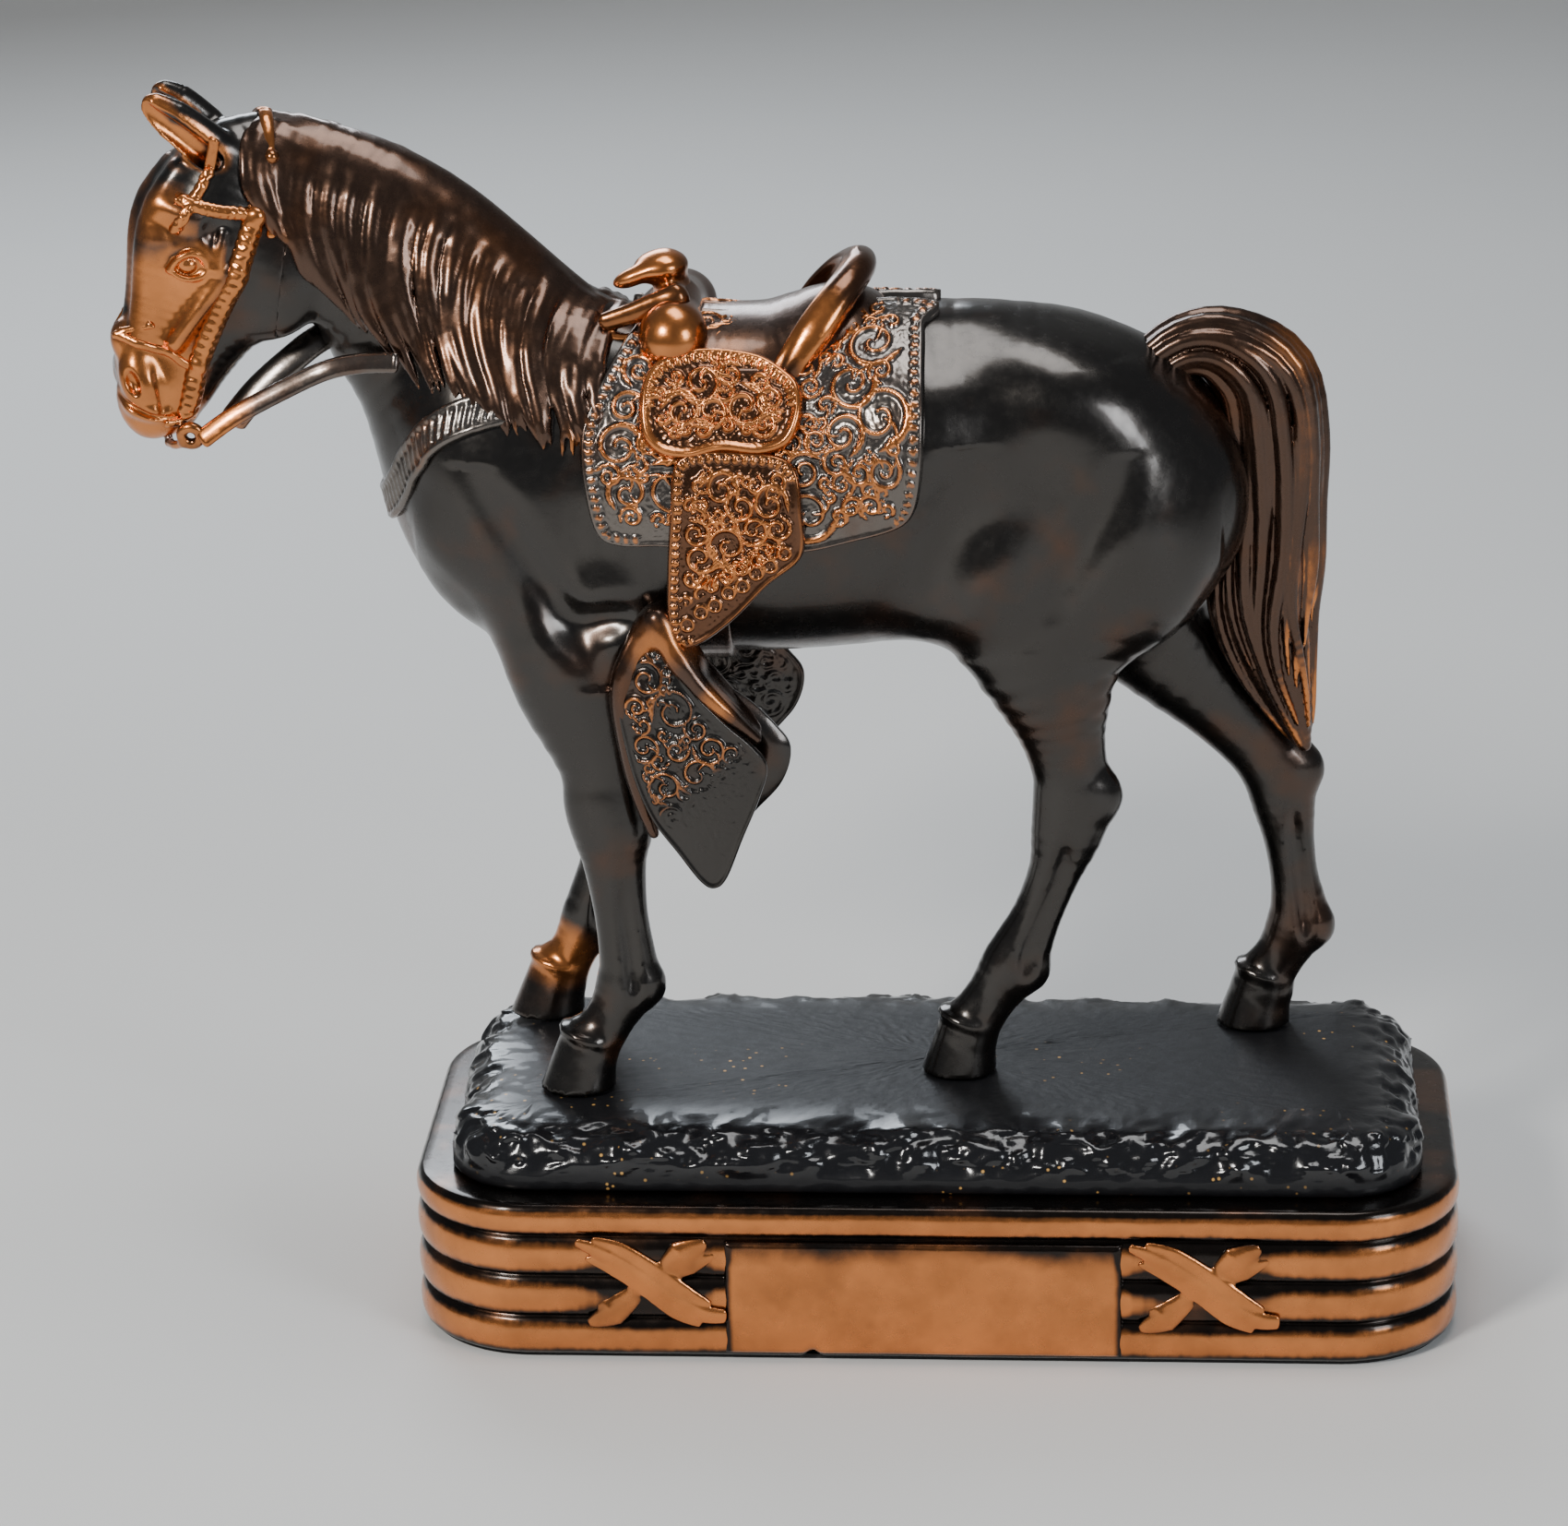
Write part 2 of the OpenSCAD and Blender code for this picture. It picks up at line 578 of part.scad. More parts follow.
felt_pad();
plinth();
front_panel();
back_panel();
front_left_lashing();
front_right_lashing();
back_left_lashing();
back_right_lashing();
ground();
hoof_studs();
stud_washers();
stud_nuts();
torso();
neck();
head();
near_ear();
far_ear();
mane();
tail();
near_foreleg();
far_foreleg();
near_hind_leg();
far_hind_leg();
near_skirt();
far_skirt();
near_jockey();
far_jockey();
near_fender();
far_fender();
near_tapadero();
far_tapadero();
saddle_seat();
saddle_swell();
saddle_horn();
cantle();
cinch();
breast_collar();
headstall();
browband();
noseband();
bit();
near_rein();
far_rein();
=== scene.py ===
"""Finishing work for a cast western saddle horse: skins, hair, tack, base and metal finishes,
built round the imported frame.  Lengths are in millimetres until a mesh is made."""

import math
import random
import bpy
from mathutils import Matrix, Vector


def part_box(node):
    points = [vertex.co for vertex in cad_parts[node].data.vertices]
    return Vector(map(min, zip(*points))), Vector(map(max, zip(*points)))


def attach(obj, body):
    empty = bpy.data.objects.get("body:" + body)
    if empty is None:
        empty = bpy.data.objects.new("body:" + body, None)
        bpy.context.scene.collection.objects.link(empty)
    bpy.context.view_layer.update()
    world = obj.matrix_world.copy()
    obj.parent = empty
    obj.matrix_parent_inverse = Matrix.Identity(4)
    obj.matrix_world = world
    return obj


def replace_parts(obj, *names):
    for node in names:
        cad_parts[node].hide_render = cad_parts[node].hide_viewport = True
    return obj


bl_info = {
    "name": "Saddle Horse Statuette",
    "version": (1, 0, 0),
    "blender": (4, 5, 0),
    "location": "View3D > Sidebar > Statuette",
    "description": "Models a plated saddle horse on a reeded plinth from a packed CAD frame",
    "category": "Object",
}

import bpy
import numpy as np
import openvdb
from mathutils import Matrix, Vector
from mathutils.noise import fractal as fractal_noise

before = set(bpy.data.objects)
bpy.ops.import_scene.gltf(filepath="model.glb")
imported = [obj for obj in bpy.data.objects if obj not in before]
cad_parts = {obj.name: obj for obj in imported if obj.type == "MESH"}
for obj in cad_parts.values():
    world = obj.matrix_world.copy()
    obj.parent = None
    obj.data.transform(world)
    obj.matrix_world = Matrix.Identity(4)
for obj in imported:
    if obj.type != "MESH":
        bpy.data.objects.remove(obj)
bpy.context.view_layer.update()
MM = 0.001
FAR = 50.0
ROOT = "root"


def box_mm(node):
    """Lowest and highest corner of a CAD node, in millimetres."""
    low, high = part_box(node)
    return np.array(low) / MM, np.array(high) / MM


PLINTH_LOW, PLINTH_HIGH = box_mm("plinth")
GROUND_LOW, GROUND_HIGH = box_mm("ground")
TORSO_LOW, TORSO_HIGH = box_mm("torso")
HORSE_Y = float(TORSO_LOW[1] + TORSO_HIGH[1]) / 2


# ---------------------------------------------------------------- curves and castings

def smooth(stations, steps):
    """Points on a curve through the stations, with steps points to each gap."""
    s = np.array(stations, float)
    last = len(s) - 1
    out = []
    for i in range(last):
        a, b, c, d = s[max(i - 1, 0)], s[i], s[i + 1], s[min(i + 2, last)]
        for t in np.arange(steps) / steps:
            out.append(0.5 * (2 * b + (c - a) * t + (2 * a - 5 * b + 4 * c - d) * t**2
                              + (3 * b - a - 3 * c + d) * t**3))
    out.append(s[last])
    return np.array(out)


def unit(v):
    """Vectors brought to length 1."""
    return v / np.maximum(np.linalg.norm(v, axis=-1, keepdims=True), 1e-9)


def along(points):
    """Unit direction of travel at each point."""
    ahead = np.vstack([points[1:], points[-1:]])
    behind = np.vstack([points[:1], points[:-1]])
    return unit(ahead - behind)


def limb(stations, steps=4):
    """A limb from [x, y from the mid-plane, z, half depth, half width] stations:
    its points, the unit vectors of depth and of width, and the two half sizes."""
    s = smooth(stations, steps)
    points = s[:, :3] + [0, HORSE_Y, 0]
    way = along(points)
    depth = unit(np.stack([-way[:, 2], np.zeros(len(s)), way[:, 0]], 1))
    width = np.tile([0.0, 1.0, 0.0], (len(s), 1))
    return points, depth, width, s[:, 3], s[:, 4]


def rod(points, radius, squash=1.0, facing=(0, 1, 0)):
    """A round or flattened rod through finished points, thin along facing."""
    points = np.array(points, float)
    way = along(points)
    depth = unit(np.cross(way, np.array(facing, float)))
    width = unit(np.cross(depth, way))
    radius = np.broadcast_to(np.array(radius, float), (len(points),))
    return points, depth, width, radius, radius * squash


def turned(shape, pivot, degrees):
    """The same limb turned about an upright line through pivot."""
    points, depth, width, a, b = shape
    c, s = math.cos(math.radians(degrees)), math.sin(math.radians(degrees))
    spin = np.array([[c, s, 0], [-s, c, 0], [0, 0, 1]])
    return (points - pivot) @ spin + pivot, depth @ spin, width @ spin, a, b


class Clay:
    """A block of space in which rounded solids are blended into one skin.  The field is the
    distance outside the solids, in millimetres, and is negative inside them."""

    def __init__(self, low, high, cell):
        """An empty block of space between two corners, in cells of a fixed size."""
        self.low = np.array(low, float)
        self.cell = cell
        self.shape = np.ceil((np.array(high, float) - self.low) / cell).astype(int) + 1
        self.field = np.full(self.shape, FAR, np.float32)

    def window(self, low, high):
        """The slices and the three coordinate arrays of the cells between two corners."""
        a = np.clip(np.floor((np.array(low) - self.low) / self.cell).astype(int), 0, self.shape)
        b = np.clip(np.ceil((np.array(high) - self.low) / self.cell).astype(int) + 1, 0, self.shape)
        cells = tuple(slice(i, j) for i, j in zip(a, b))
        axes = [(np.arange(i, j) * self.cell + o).astype(np.float32) for i, j, o in zip(a, b, self.low)]
        x, y, z = np.meshgrid(*axes, indexing="ij", sparse=True)
        return cells, x, y, z

    def limb_field(self, shape, margin):
        """The distance field of one limb, in the window that holds it."""
        points, _, _, a, b = shape
        widest = np.maximum(a, b)
        reach = np.maximum(widest[:-1], widest[1:])[:, None] + margin
        lows = np.minimum(points[:-1], points[1:]) - reach
        highs = np.maximum(points[:-1], points[1:]) + reach
        cells, _, _, _ = self.window(lows.min(0), highs.max(0))
        field = np.full(self.field[cells].shape, FAR, np.float32)
        start = np.array([c.start for c in cells])
        for i in range(len(points) - 1):
            part, x, y, z = self.window(lows[i], highs[i])
            inner = tuple(slice(c.start - o, c.stop - o) for c, o in zip(part, start))
            field[inner] = np.minimum(field[inner], segment_field(x, y, z, shape, i))
        return cells, field

    def add(self, shape, blend=3.0):
        """Blends a limb into the clay; blend is the size of the fillet."""
        cells, field = self.limb_field(shape, blend + 3 * self.cell)
        self.field[cells] = union(self.field[cells], field, blend)

    def lump(self, centre, radii, lean=0.0, blend=3.0, dent=False):
        """Adds (or with dent presses in) an ellipsoid, leaning in the XZ plane."""
        centre = np.array(centre, float)
        reach = max(radii) + blend + 3 * self.cell
        cells, x, y, z = self.window(centre - reach, centre + reach)
        c, s = math.cos(math.radians(lean)), math.sin(math.radians(lean))
        u = (x - centre[0]) * c + (z - centre[2]) * s
        w = (z - centre[2]) * c - (x - centre[0]) * s
        v = y - centre[1]
        field = (np.sqrt((u / radii[0])**2 + (v / radii[1])**2 + (w / radii[2])**2) - 1) * min(radii)
        if dent:
            self.field[cells] = -union(-self.field[cells], field, blend)
        else:
            self.field[cells] = union(self.field[cells], field, blend)

    def keep(self, plane_point, plane_normal, blend=0.5):
        """Cuts away what lies beyond a plane."""
        _, x, y, z = self.window(self.low, self.low + self.shape * self.cell)
        p, n = plane_point, unit(np.array(plane_normal, float))
        side = (x - p[0]) * n[0] + (y - p[1]) * n[1] + (z - p[2]) * n[2]
        self.field = -union(-self.field, -side, blend).astype(np.float32)

    def sample(self, points):
        """The field at any points, read between the cells."""
        at = (np.asarray(points, float) - self.low) / self.cell
        at = np.clip(at, 0, self.shape - 1.001)
        i = at.astype(int)
        f = at - i
        total = 0.0
        for dx in (0, 1):
            for dy in (0, 1):
                for dz in (0, 1):
                    weight = (np.abs(1 - dx - f[..., 0]) * np.abs(1 - dy - f[..., 1])
                              * np.abs(1 - dz - f[..., 2]))
                    total = total + weight * self.field[i[..., 0] + dx, i[..., 1] + dy, i[..., 2] + dz]
        return total

    def normal(self, points, step=0.8):
        """The outward direction at points near the skin."""
        points = np.asarray(points, float)
        out = []
        for axis in range(3):
            d = np.zeros(3)
            d[axis] = step
            out.append(self.sample(points + d) - self.sample(points - d))
        return unit(np.stack(out, -1))

    def strike(self, starts, ways, reach, level=0.0, samples=160):
        """Where rays from outside first meet the skin."""
        starts, ways = np.asarray(starts, float), np.asarray(ways, float)
        t = np.linspace(0, reach, samples)
        best = np.full(starts.shape[:-1], reach, float)
        found = np.zeros(starts.shape[:-1], bool)
        before = self.sample(starts)
        for k in range(1, samples):
            now = self.sample(starts + ways * t[k])
            hit = ~found & (now < level)
            share = (before - level) / np.maximum(before - now, 1e-6)
            best = np.where(hit, t[k - 1] + np.clip(share, 0, 1) * (t[k] - t[k - 1]), best)
            found |= hit
            before = now
        return starts + ways * best[..., None]

    def skin(self, level=0.0):
        """The cast skin: points in millimetres, and four-sided faces."""
        grid = openvdb.FloatGrid(FAR)
        grid.copyFromArray(self.field)
        points, quads = grid.convertToQuads(isovalue=level)
        points = points.astype(float) * self.cell + self.low
        return points, quads.astype(int)


def segment_field(x, y, z, shape, i):
    """Distance to the stretch of a limb between two neighbouring points."""
    points, depth, width, a, b = shape
    p, d = points[i], points[i + 1] - points[i]
    length2 = max(float(d @ d), 1e-9)
    dx, dy, dz = x - p[0], y - p[1], z - p[2]
    t = np.clip((dx * d[0] + dy * d[1] + dz * d[2]) / length2, 0, 1)
    ex, ey, ez = dx - t * d[0], dy - t * d[1], dz - t * d[2]
    n, m = unit(depth[i] + depth[i + 1]), unit(width[i] + width[i + 1])
    w = np.cross(n, m)
    ra, rb = a[i] + t * (a[i + 1] - a[i]), b[i] + t * (b[i + 1] - b[i])
    rc = np.minimum(ra, rb)
    u = (ex * n[0] + ey * n[1] + ez * n[2]) / ra
    v = (ex * m[0] + ey * m[1] + ez * m[2]) / rb
    s = (ex * w[0] + ey * w[1] + ez * w[2]) / rc
    return ((np.sqrt(u * u + v * v + s * s) - 1) * rc).astype(np.float32)


def union(a, b, blend):
    """The nearer of two fields, with a fillet of the given size."""
    if blend <= 0:
        return np.minimum(a, b)
    h = np.maximum(blend - np.abs(a - b), 0) / blend
    return np.minimum(a, b) - h * h * blend * 0.25


# ---------------------------------------------------------------- meshes

def make_mesh(name, points, faces, material, shade=True):
    """A piece from points in millimetres; it rides on the one body."""
    mesh = bpy.data.meshes.new(name)
    mesh.from_pydata((np.asarray(points) * MM).tolist(), [], [list(map(int, f)) for f in faces])
    mesh.validate()
    mesh.update()
    piece = bpy.data.objects.new(name, mesh)
    bpy.context.scene.collection.objects.link(piece)
    if signed_volume(mesh) < 0:
        mesh.flip_normals()
    mesh.polygons.foreach_set("use_smooth", [shade] * len(mesh.polygons))
    mesh.materials.append(material)
    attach(piece, ROOT)
    return piece


def finish_node(name, material):
    """Gives a CAD node that stays in view its finish."""
    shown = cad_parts[name]
    shown.data.materials.clear()
    shown.data.materials.append(material)


def signed_volume(mesh):
    """Positive when a closed mesh's faces look outward."""
    co = np.empty(len(mesh.vertices) * 3)
    mesh.vertices.foreach_get("co", co)
    co = co.reshape(-1, 3)
    mesh.calc_loop_triangles()
    tri = np.empty(len(mesh.loop_triangles) * 3, int)
    mesh.loop_triangles.foreach_get("vertices", tri)
    a, b, c = (co[tri.reshape(-1, 3)[:, k]] for k in range(3))
    return float(np.einsum("ij,ij->i", a, np.cross(b, c)).sum())


def paint(piece, name, values):
    """Stores one number per point, which the materials read."""
    layer = piece.data.attributes.new(name, "FLOAT", "POINT")
    layer.data.foreach_set("value", np.asarray(values, np.float32))


# ---------------------------------------------------------------- the horse's shape
# Stations are [x, y from the horse's mid-plane, z, half depth, half width].

TORSO = [
    [-76, 0, 141, 19.5, 15.8], [-70, 0, 144.6, 28.5, 20.5],
    [-58, 0, 144.8, 29.6, 22], [-42, 0, 144, 29.5, 23.5], [-25, 0, 143.6, 28.8, 24.5],
    [-8, 0, 146, 29.2, 24], [6, 0, 148.6, 26.6, 21.5], [17, 0, 146.6, 27.6, 21], [27, 0, 142.8, 27.2, 20],
    [35, 0, 140.5, 22.5, 17.5], [40.5, 0, 140, 15, 12], [42.4, 0, 140, 6, 5],
]
NECK = [
    [-64, 0, 150, 21, 17], [-74, 0, 161, 22, 15.5], [-82, 0, 170.5, 20, 12.5], [-91, 0, 181.5, 17.4, 10],
    [-99.5, 0, 189.5, 15.4, 8.4], [-107.5, 0, 194, 12.6, 7.6], [-113, 0, 196.5, 9, 6],
]
NEAR_FORELEG = [
    [-61, -9, 136, 16, 8], [-60, -12, 121, 12.5, 8.5], [-58, -14, 107, 9.8, 7], [-56.3, -15, 97, 7.6, 5.8],
    [-55.6, -15.4, 91, 7, 5.6], [-55.2, -15.6, 86.5, 7.1, 5.7], [-54.9, -16, 80.5, 5.5, 4.5],
    [-54, -16.2, 71, 4.6, 3.8], [-53, -16.5, 62.5, 5, 4.2], [-53, -16.6, 58.5, 5.6, 4.5],
    [-55.8, -17, 53, 4.4, 3.9], [-58.6, -17.4, 48.5, 4.6, 4.3], [-60, -17.6, 46, 4.9, 4.6],
]
FAR_FORELEG = [
    [-62, 9, 136, 15, 8], [-61, 12, 121, 12.2, 8.5], [-59, 14, 107, 9.6, 7], [-58, 15, 97, 7.4, 5.8],
    [-57.8, 15.4, 91, 6.8, 5.6], [-57.8, 15.6, 86.5, 6.9, 5.6], [-58.2, 16, 80, 5.2, 4.4],
    [-59.4, 16.2, 70, 4.5, 3.8], [-61.6, 16.4, 61.5, 5, 4.2], [-62.4, 16.5, 58, 5.5, 4.4],
    [-65.4, 16.7, 52.5, 4.3, 3.9], [-67.6, 16.9, 48.5, 4.6, 4.3], [-68.6, 17, 46, 4.9, 4.6],
]
NEAR_HIND_LEG = [
    [18, -9, 136, 20, 8], [17.5, -11, 123, 15.8, 8.6], [20, -11.4, 111.5, 10.8, 7.4],
    [21.6, -11, 103, 7.6, 5.8],
    [22.9, -10.6, 96, 6.5, 4.9], [23.6, -10.4, 91, 7, 5], [22.4, -10.2, 84, 6.2, 4.7],
    [20.4, -9.8, 77, 4.6, 4],
    [17.4, -9.4, 69, 4.3, 3.8], [14.6, -9.2, 62.5, 5.2, 4.3], [13, -9.1, 59, 5.6, 4.5],
    [9.6, -9, 53.8, 4.6, 4], [6.8, -9, 49.5, 4.8, 4.4], [5.4, -9, 46.8, 5.2, 4.8],
]
FAR_HIND_LEG = [
    [27, 9, 134, 17, 8], [31.5, 11, 121, 13.8, 8.4], [40.5, 11.8, 109.6, 10.2, 7.2],
    [48.5, 12.4, 101, 7.8, 5.8],
    [55.4, 12.8, 93.4, 6.8, 5.1], [58.8, 13, 88, 6.6, 5], [60, 13.2, 81.5, 5.6, 4.6],
    [61, 13.5, 75, 4.5, 4],
    [62, 13.8, 68, 4.2, 3.8], [62.9, 14, 62, 5, 4.3], [62.9, 14, 58.6, 5.6, 4.5],
    [60.2, 14.2, 53.2, 4.6, 4], [57.8, 14.4, 49.2, 4.9, 4.4], [57, 14.4, 46.6, 5.4, 4.8],
]
# Hooves: the middle of the coronet and of the sole, as [x, y from the mid-plane]
HOOVES = {
    "near_foreleg": ([-60.2, -17.6], [-62.2, -17.8]),
    "far_foreleg": ([-68.8, 17], [-71, 17]),
    "near_hind_leg": ([5.2, -9], [3.6, -9]),
    "far_hind_leg": ([56.8, 14.4], [55, 14.4]),
}
LEGS = {"near_foreleg": NEAR_FORELEG, "far_foreleg": FAR_FORELEG,
        "near_hind_leg": NEAR_HIND_LEG, "far_hind_leg": FAR_HIND_LEG}
# The head as it would hang if the horse looked straight ahead, from poll to lip
HEAD_TURN = 20.0
POLL = np.array([-109.0, HORSE_Y, 196.0])
HEAD = [
    [-112, 0, 201, 7, 5.5], [-116, 0, 198, 10.5, 7.6], [-119.4, 0, 193, 12.4, 9],
    [-121, 0, 186.5, 13.4, 9.2],
    [-122.4, 0, 180, 12.8, 8], [-125.2, 0, 173.4, 10.6, 6.8], [-128.2, 0, 167.6, 8.8, 5.8],
    [-130.8, 0, 163.4, 8.2, 5.8], [-132.6, 0, 160.2, 7, 5.6], [-133.4, 0, 158, 4.8, 4.4],
    [-133.4, 0, 156.6, 2.4, 2.6],
]


def head_point(x, y, z):
    """A place on the turned head, from its place on the straight one."""
    c, s = math.cos(math.radians(HEAD_TURN)), math.sin(math.radians(HEAD_TURN))
    dx, dy = x - POLL[0], y
    return np.array([POLL[0] + dx * c - dy * s, HORSE_Y + dx * s + dy * c, z])


def horse_clay(low, high, cell):
    """The horse's own castings blended together in one box: barrel, neck, head and legs."""
    clay = Clay(low, high, cell)
    clay.add(limb(TORSO, 4), 3)
    clay.add(limb(NECK, 4), 6)
    for name, stations in LEGS.items():
        clay.add(limb(stations, 3), 8)
    # masses on both sides: shoulder, its point, breast, forearm, elbow, hip, stifle, buttock
    for side in (-1, 1):
        for centre, radii, lean, blend in [
            ([-73, 12, 146], (11, 10, 19), 20, 6), ([-80, 10.5, 139], (7, 7.5, 9), 20, 4),
            ([-81.5, 5.5, 131], (5, 6, 9), 30, 4), ([-61, 15.5, 118], (9.5, 6.5, 12), -8, 6),
            ([-53, 17, 129], (8, 5.5, 8), 25, 4), ([21, 11.5, 160], (13, 9, 9), -12, 7),
            ([9, 15.5, 133], (7.5, 6.5, 9), -20, 6), ([32, 11, 140], (11, 9.5, 19), 12, 7),
            ([-3, 16, 155], (12, 8, 10), 0, 8),
        ]:
            clay.lump([centre[0], HORSE_Y + side * centre[1], centre[2]], radii, lean, blend)
        for centre, radii, lean, blend in [
            ([-55, 23.5, 125.5], (5, 4, 2.4), 10, 4), ([-66, 25, 133], (2, 4, 12), 30, 5),
            ([1.5, 24.5, 137], (4, 3.6, 11), -16, 6), ([24.5, 25, 137], (2.2, 3.4, 10), -30, 5),
        ]:
            clay.lump([centre[0], HORSE_Y + side * centre[1], centre[2]], radii, lean, blend, dent=True)
    # tendons and bony places of the legs
    for name, stations in LEGS.items():
        s = np.array(stations)
        fore = "fore" in name
        knee = s[5] if not fore else s[4]
        side = math.copysign(1, s[5][1])
        clay.lump([knee[0] - (1.5 if fore else -3), HORSE_Y + knee[1], knee[2]],
                  (5.6, 4.8, 5.4) if fore else (5, 3.6, 4.2), 0, 2.5)
        back = s[-4]
        clay.lump([back[0] + 3.4, HORSE_Y + back[1], back[2] - 0.6], (2.6, 2.8, 2.8), 0, 2.5)
        shin = smooth(s[6:-3], 3)
        for y in (-1, 1):
            groove = np.stack([shin[:, 0] + 1.2, HORSE_Y + shin[:, 1] + y * (shin[:, 4] + 0.9),
                               shin[:, 2]], 1)
            for p in groove[2:-2]:
                clay.lump(p, (0.9, 1.4, 2.6), 0, 1.6, dent=True)
    head_into(clay)
    hooves_into(clay)
    return clay


def hooves_into(clay):
    """The four hooves and the coronet band above each."""
    ground = float(GROUND_HIGH[2])
    for top, sole in HOOVES.values():
        high, low = ground + 8.6, ground - 1.4
        shape = rod([[top[0], HORSE_Y + top[1], high], [sole[0], HORSE_Y + sole[1], low]], [4.9, 6.7], 0.92)
        cells, field = clay.limb_field(shape, 4)
        clay.field[cells] = union(clay.field[cells], field, 0.8)
        band = [[top[0] + 4.4 * math.cos(a), HORSE_Y + top[1] + 4.5 * math.sin(a),
                 high + 1.2 - 1.4 * math.cos(a)]
                for a in np.linspace(0, 2 * math.pi, 17)]
        clay.add(rod(band, 0.62), 1.0)


def head_into(clay):
    """The head and its bony and fleshy places."""
    clay.add(turned(limb(HEAD, 4), POLL, HEAD_TURN), 5)
    for side in (-1, 1):
        def place(x, y, z):
            """A place on this side of the head."""
            return head_point(x, side * y, z)

        def path(points, steps=4):
            """A smooth line through places on this side of the head."""
            return smooth([place(*p) for p in points], steps)

        clay.lump(place(-114, 5.4, 181), (8.5, 4, 10.5), 10, 3)
        clay.lump(place(-127.4, 5.8, 193.4), (4.2, 2.8, 2.3), -25, 1.6)
        clay.lump(place(-131, 4.8, 189), (1.6, 1.8, 1.8), 0, 1.2)
        clay.add(rod(path([[-121, 8.2, 183], [-126, 7.6, 177], [-130, 6.2, 171.4]]), 1.3), 2)
        bone = path([[-127.6, 3.4, 200], [-131, 3.6, 195.4], [-132.8, 3.6, 190], [-133.6, 3.2, 182],
                     [-135, 3.0, 174],
                     [-136.6, 2.8, 167]])
        clay.add(rod(bone, np.interp(np.linspace(0, 1, len(bone)), [0, 0.35, 1], [0.8, 1.9, 1.8])), 3.5)
        clay.lump(place(-135.8, 4.4, 164.4), (3.2, 2.3, 4.2), 20, 1.4)
        clay.lump(place(-135, 4.2, 159.8), (3.8, 2.2, 1.8), -14, 1.2)
        # eye: socket, ball and lids
        clay.lump(place(-127.4, 9.2, 185), (3.5, 1.9, 2.5), -20, 0.7, dent=True)
        clay.lump(place(-127.3, 6.6, 184.9), (2.0, 1.9, 1.7), 0, 0.15)
        clay.add(rod(path([[-130.4, 7.0, 184.2], [-129, 7.9, 186.2], [-127, 8.3, 187], [-125, 8.3, 186.2],
                           [-123.8, 8.4, 184.2]]), 0.62), 0.5)
        clay.add(rod(path([[-130.4, 7.0, 184.2], [-128.8, 7.9, 183], [-127, 8.2, 182.6], [-125.2, 8.3, 183],
                           [-123.8, 8.4, 184.2]]), 0.5), 0.5)
        # nostril, the groove behind it and the line of the mouth
        clay.lump(place(-137.6, 5.8, 165), (1.2, 1.5, 2.3), 20, 0.6, dent=True)
        for p in path([[-133.6, 7.2, 167], [-133.0, 7.4, 163.4], [-132.6, 7.0, 160]]):
            clay.lump(p, (0.7, 1.0, 1.2), 0, 0.7, dent=True)
        for p in path([[-140.6, 1.6, 162.6], [-138.4, 5.2, 161], [-134.6, 6.8, 159],
                       [-131, 6.8, 158.4]], 5):
            clay.lump(p, (0.9, 1.3, 0.45), 0, 0.4, dent=True)
        # hollow above the eye, and the bright fold on the cheek behind it
        clay.lump(place(-122.6, 9.6, 190.4), (2.2, 1.6, 2.2), 0, 1.2, dent=True)
        clay.add(rod(path([[-121.4, 8.4, 190], [-122.2, 8.8, 187], [-122.8, 8.9, 184]]), 0.75), 1)
        for p in path([[-118, 9.4, 175], [-122, 8.8, 170.5], [-125.4, 7.8, 166]], 3):
            clay.lump(p, (2.2, 1.4, 1.6), 0, 1.6, dent=True)
        ear_into(clay, side)
    clay.lump(head_point(-131.6, 0, 157.6), (4.4, 4.0, 2.2), -14, 1.5)
    clay.lump(head_point(-138, 0, 171.6), (1.8, 3.2, 3.0), 0, 1.6)


def ear_into(clay, side):
    """A pricked ear: a leaf of metal, rolled at its rims and hollow in front."""
    if side < 0:
        line = [[-118.4, -4.2, 200.4], [-122.4, -4.6, 204], [-126.4, -4.6, 207.6], [-130.4, -4, 210.8],
                [-132.2, -3.6, 212.6]]
    else:
        line = [[-118.4, 4.2, 201.8], [-121.4, 5, 205.2], [-124.4, 5.4, 208.4], [-127.4, 5.4, 211],
                [-129, 5.3, 212.4]]
    spine = smooth([head_point(*p) for p in line], 5)
    t = np.linspace(0, 1, len(spine))
    width = np.interp(t, [0, 0.25, 0.6, 0.85, 1], [3.4, 3.9, 3.4, 2.2, 0.8])
    clay.add(rod(spine, width, 0.62, (0.35, 0.8, -0.5)), 1.2)
    face = unit(np.array([-0.5, -0.75, -0.25]))
    hollow = spine[3:-2] + face * 1.9
    for p, w in zip(hollow, width[3:-2]):
        clay.lump(p, (w * 0.5, w * 0.42, w * 0.55), 45, 0.7, dent=True)
    clay.add(rod(spine[2:-3] + face * 1.0 + np.array([0.9, 0, 0.9]), 0.45), 0.5)


# ---------------------------------------------------------------- finishes

def new_material(name):
    """An empty node material, its tree and its shader."""
    material = bpy.data.materials.new(name)
    material.use_nodes = True
    tree = material.node_tree
    return material, tree, tree.nodes["Principled BSDF"]


def node(tree, kind, **values):
    """Adds a node; values named after its input sockets, or its own settings."""
    made = tree.nodes.new(kind)
    for key, value in values.items():
        if hasattr(made, key):
            setattr(made, key, value)
        else:
            made.inputs[key.replace("_", " ")].default_value = value
    return made


def noise(tree, coords, scale, detail=4.0, roughness=0.55):
    """A cloudy pattern fixed to the piece."""
    made = node(tree, "ShaderNodeTexNoise", Scale=scale, Detail=detail, Roughness=roughness)
    tree.links.new(coords.outputs["Object"], made.inputs["Vector"])
    return made.outputs["Fac"]


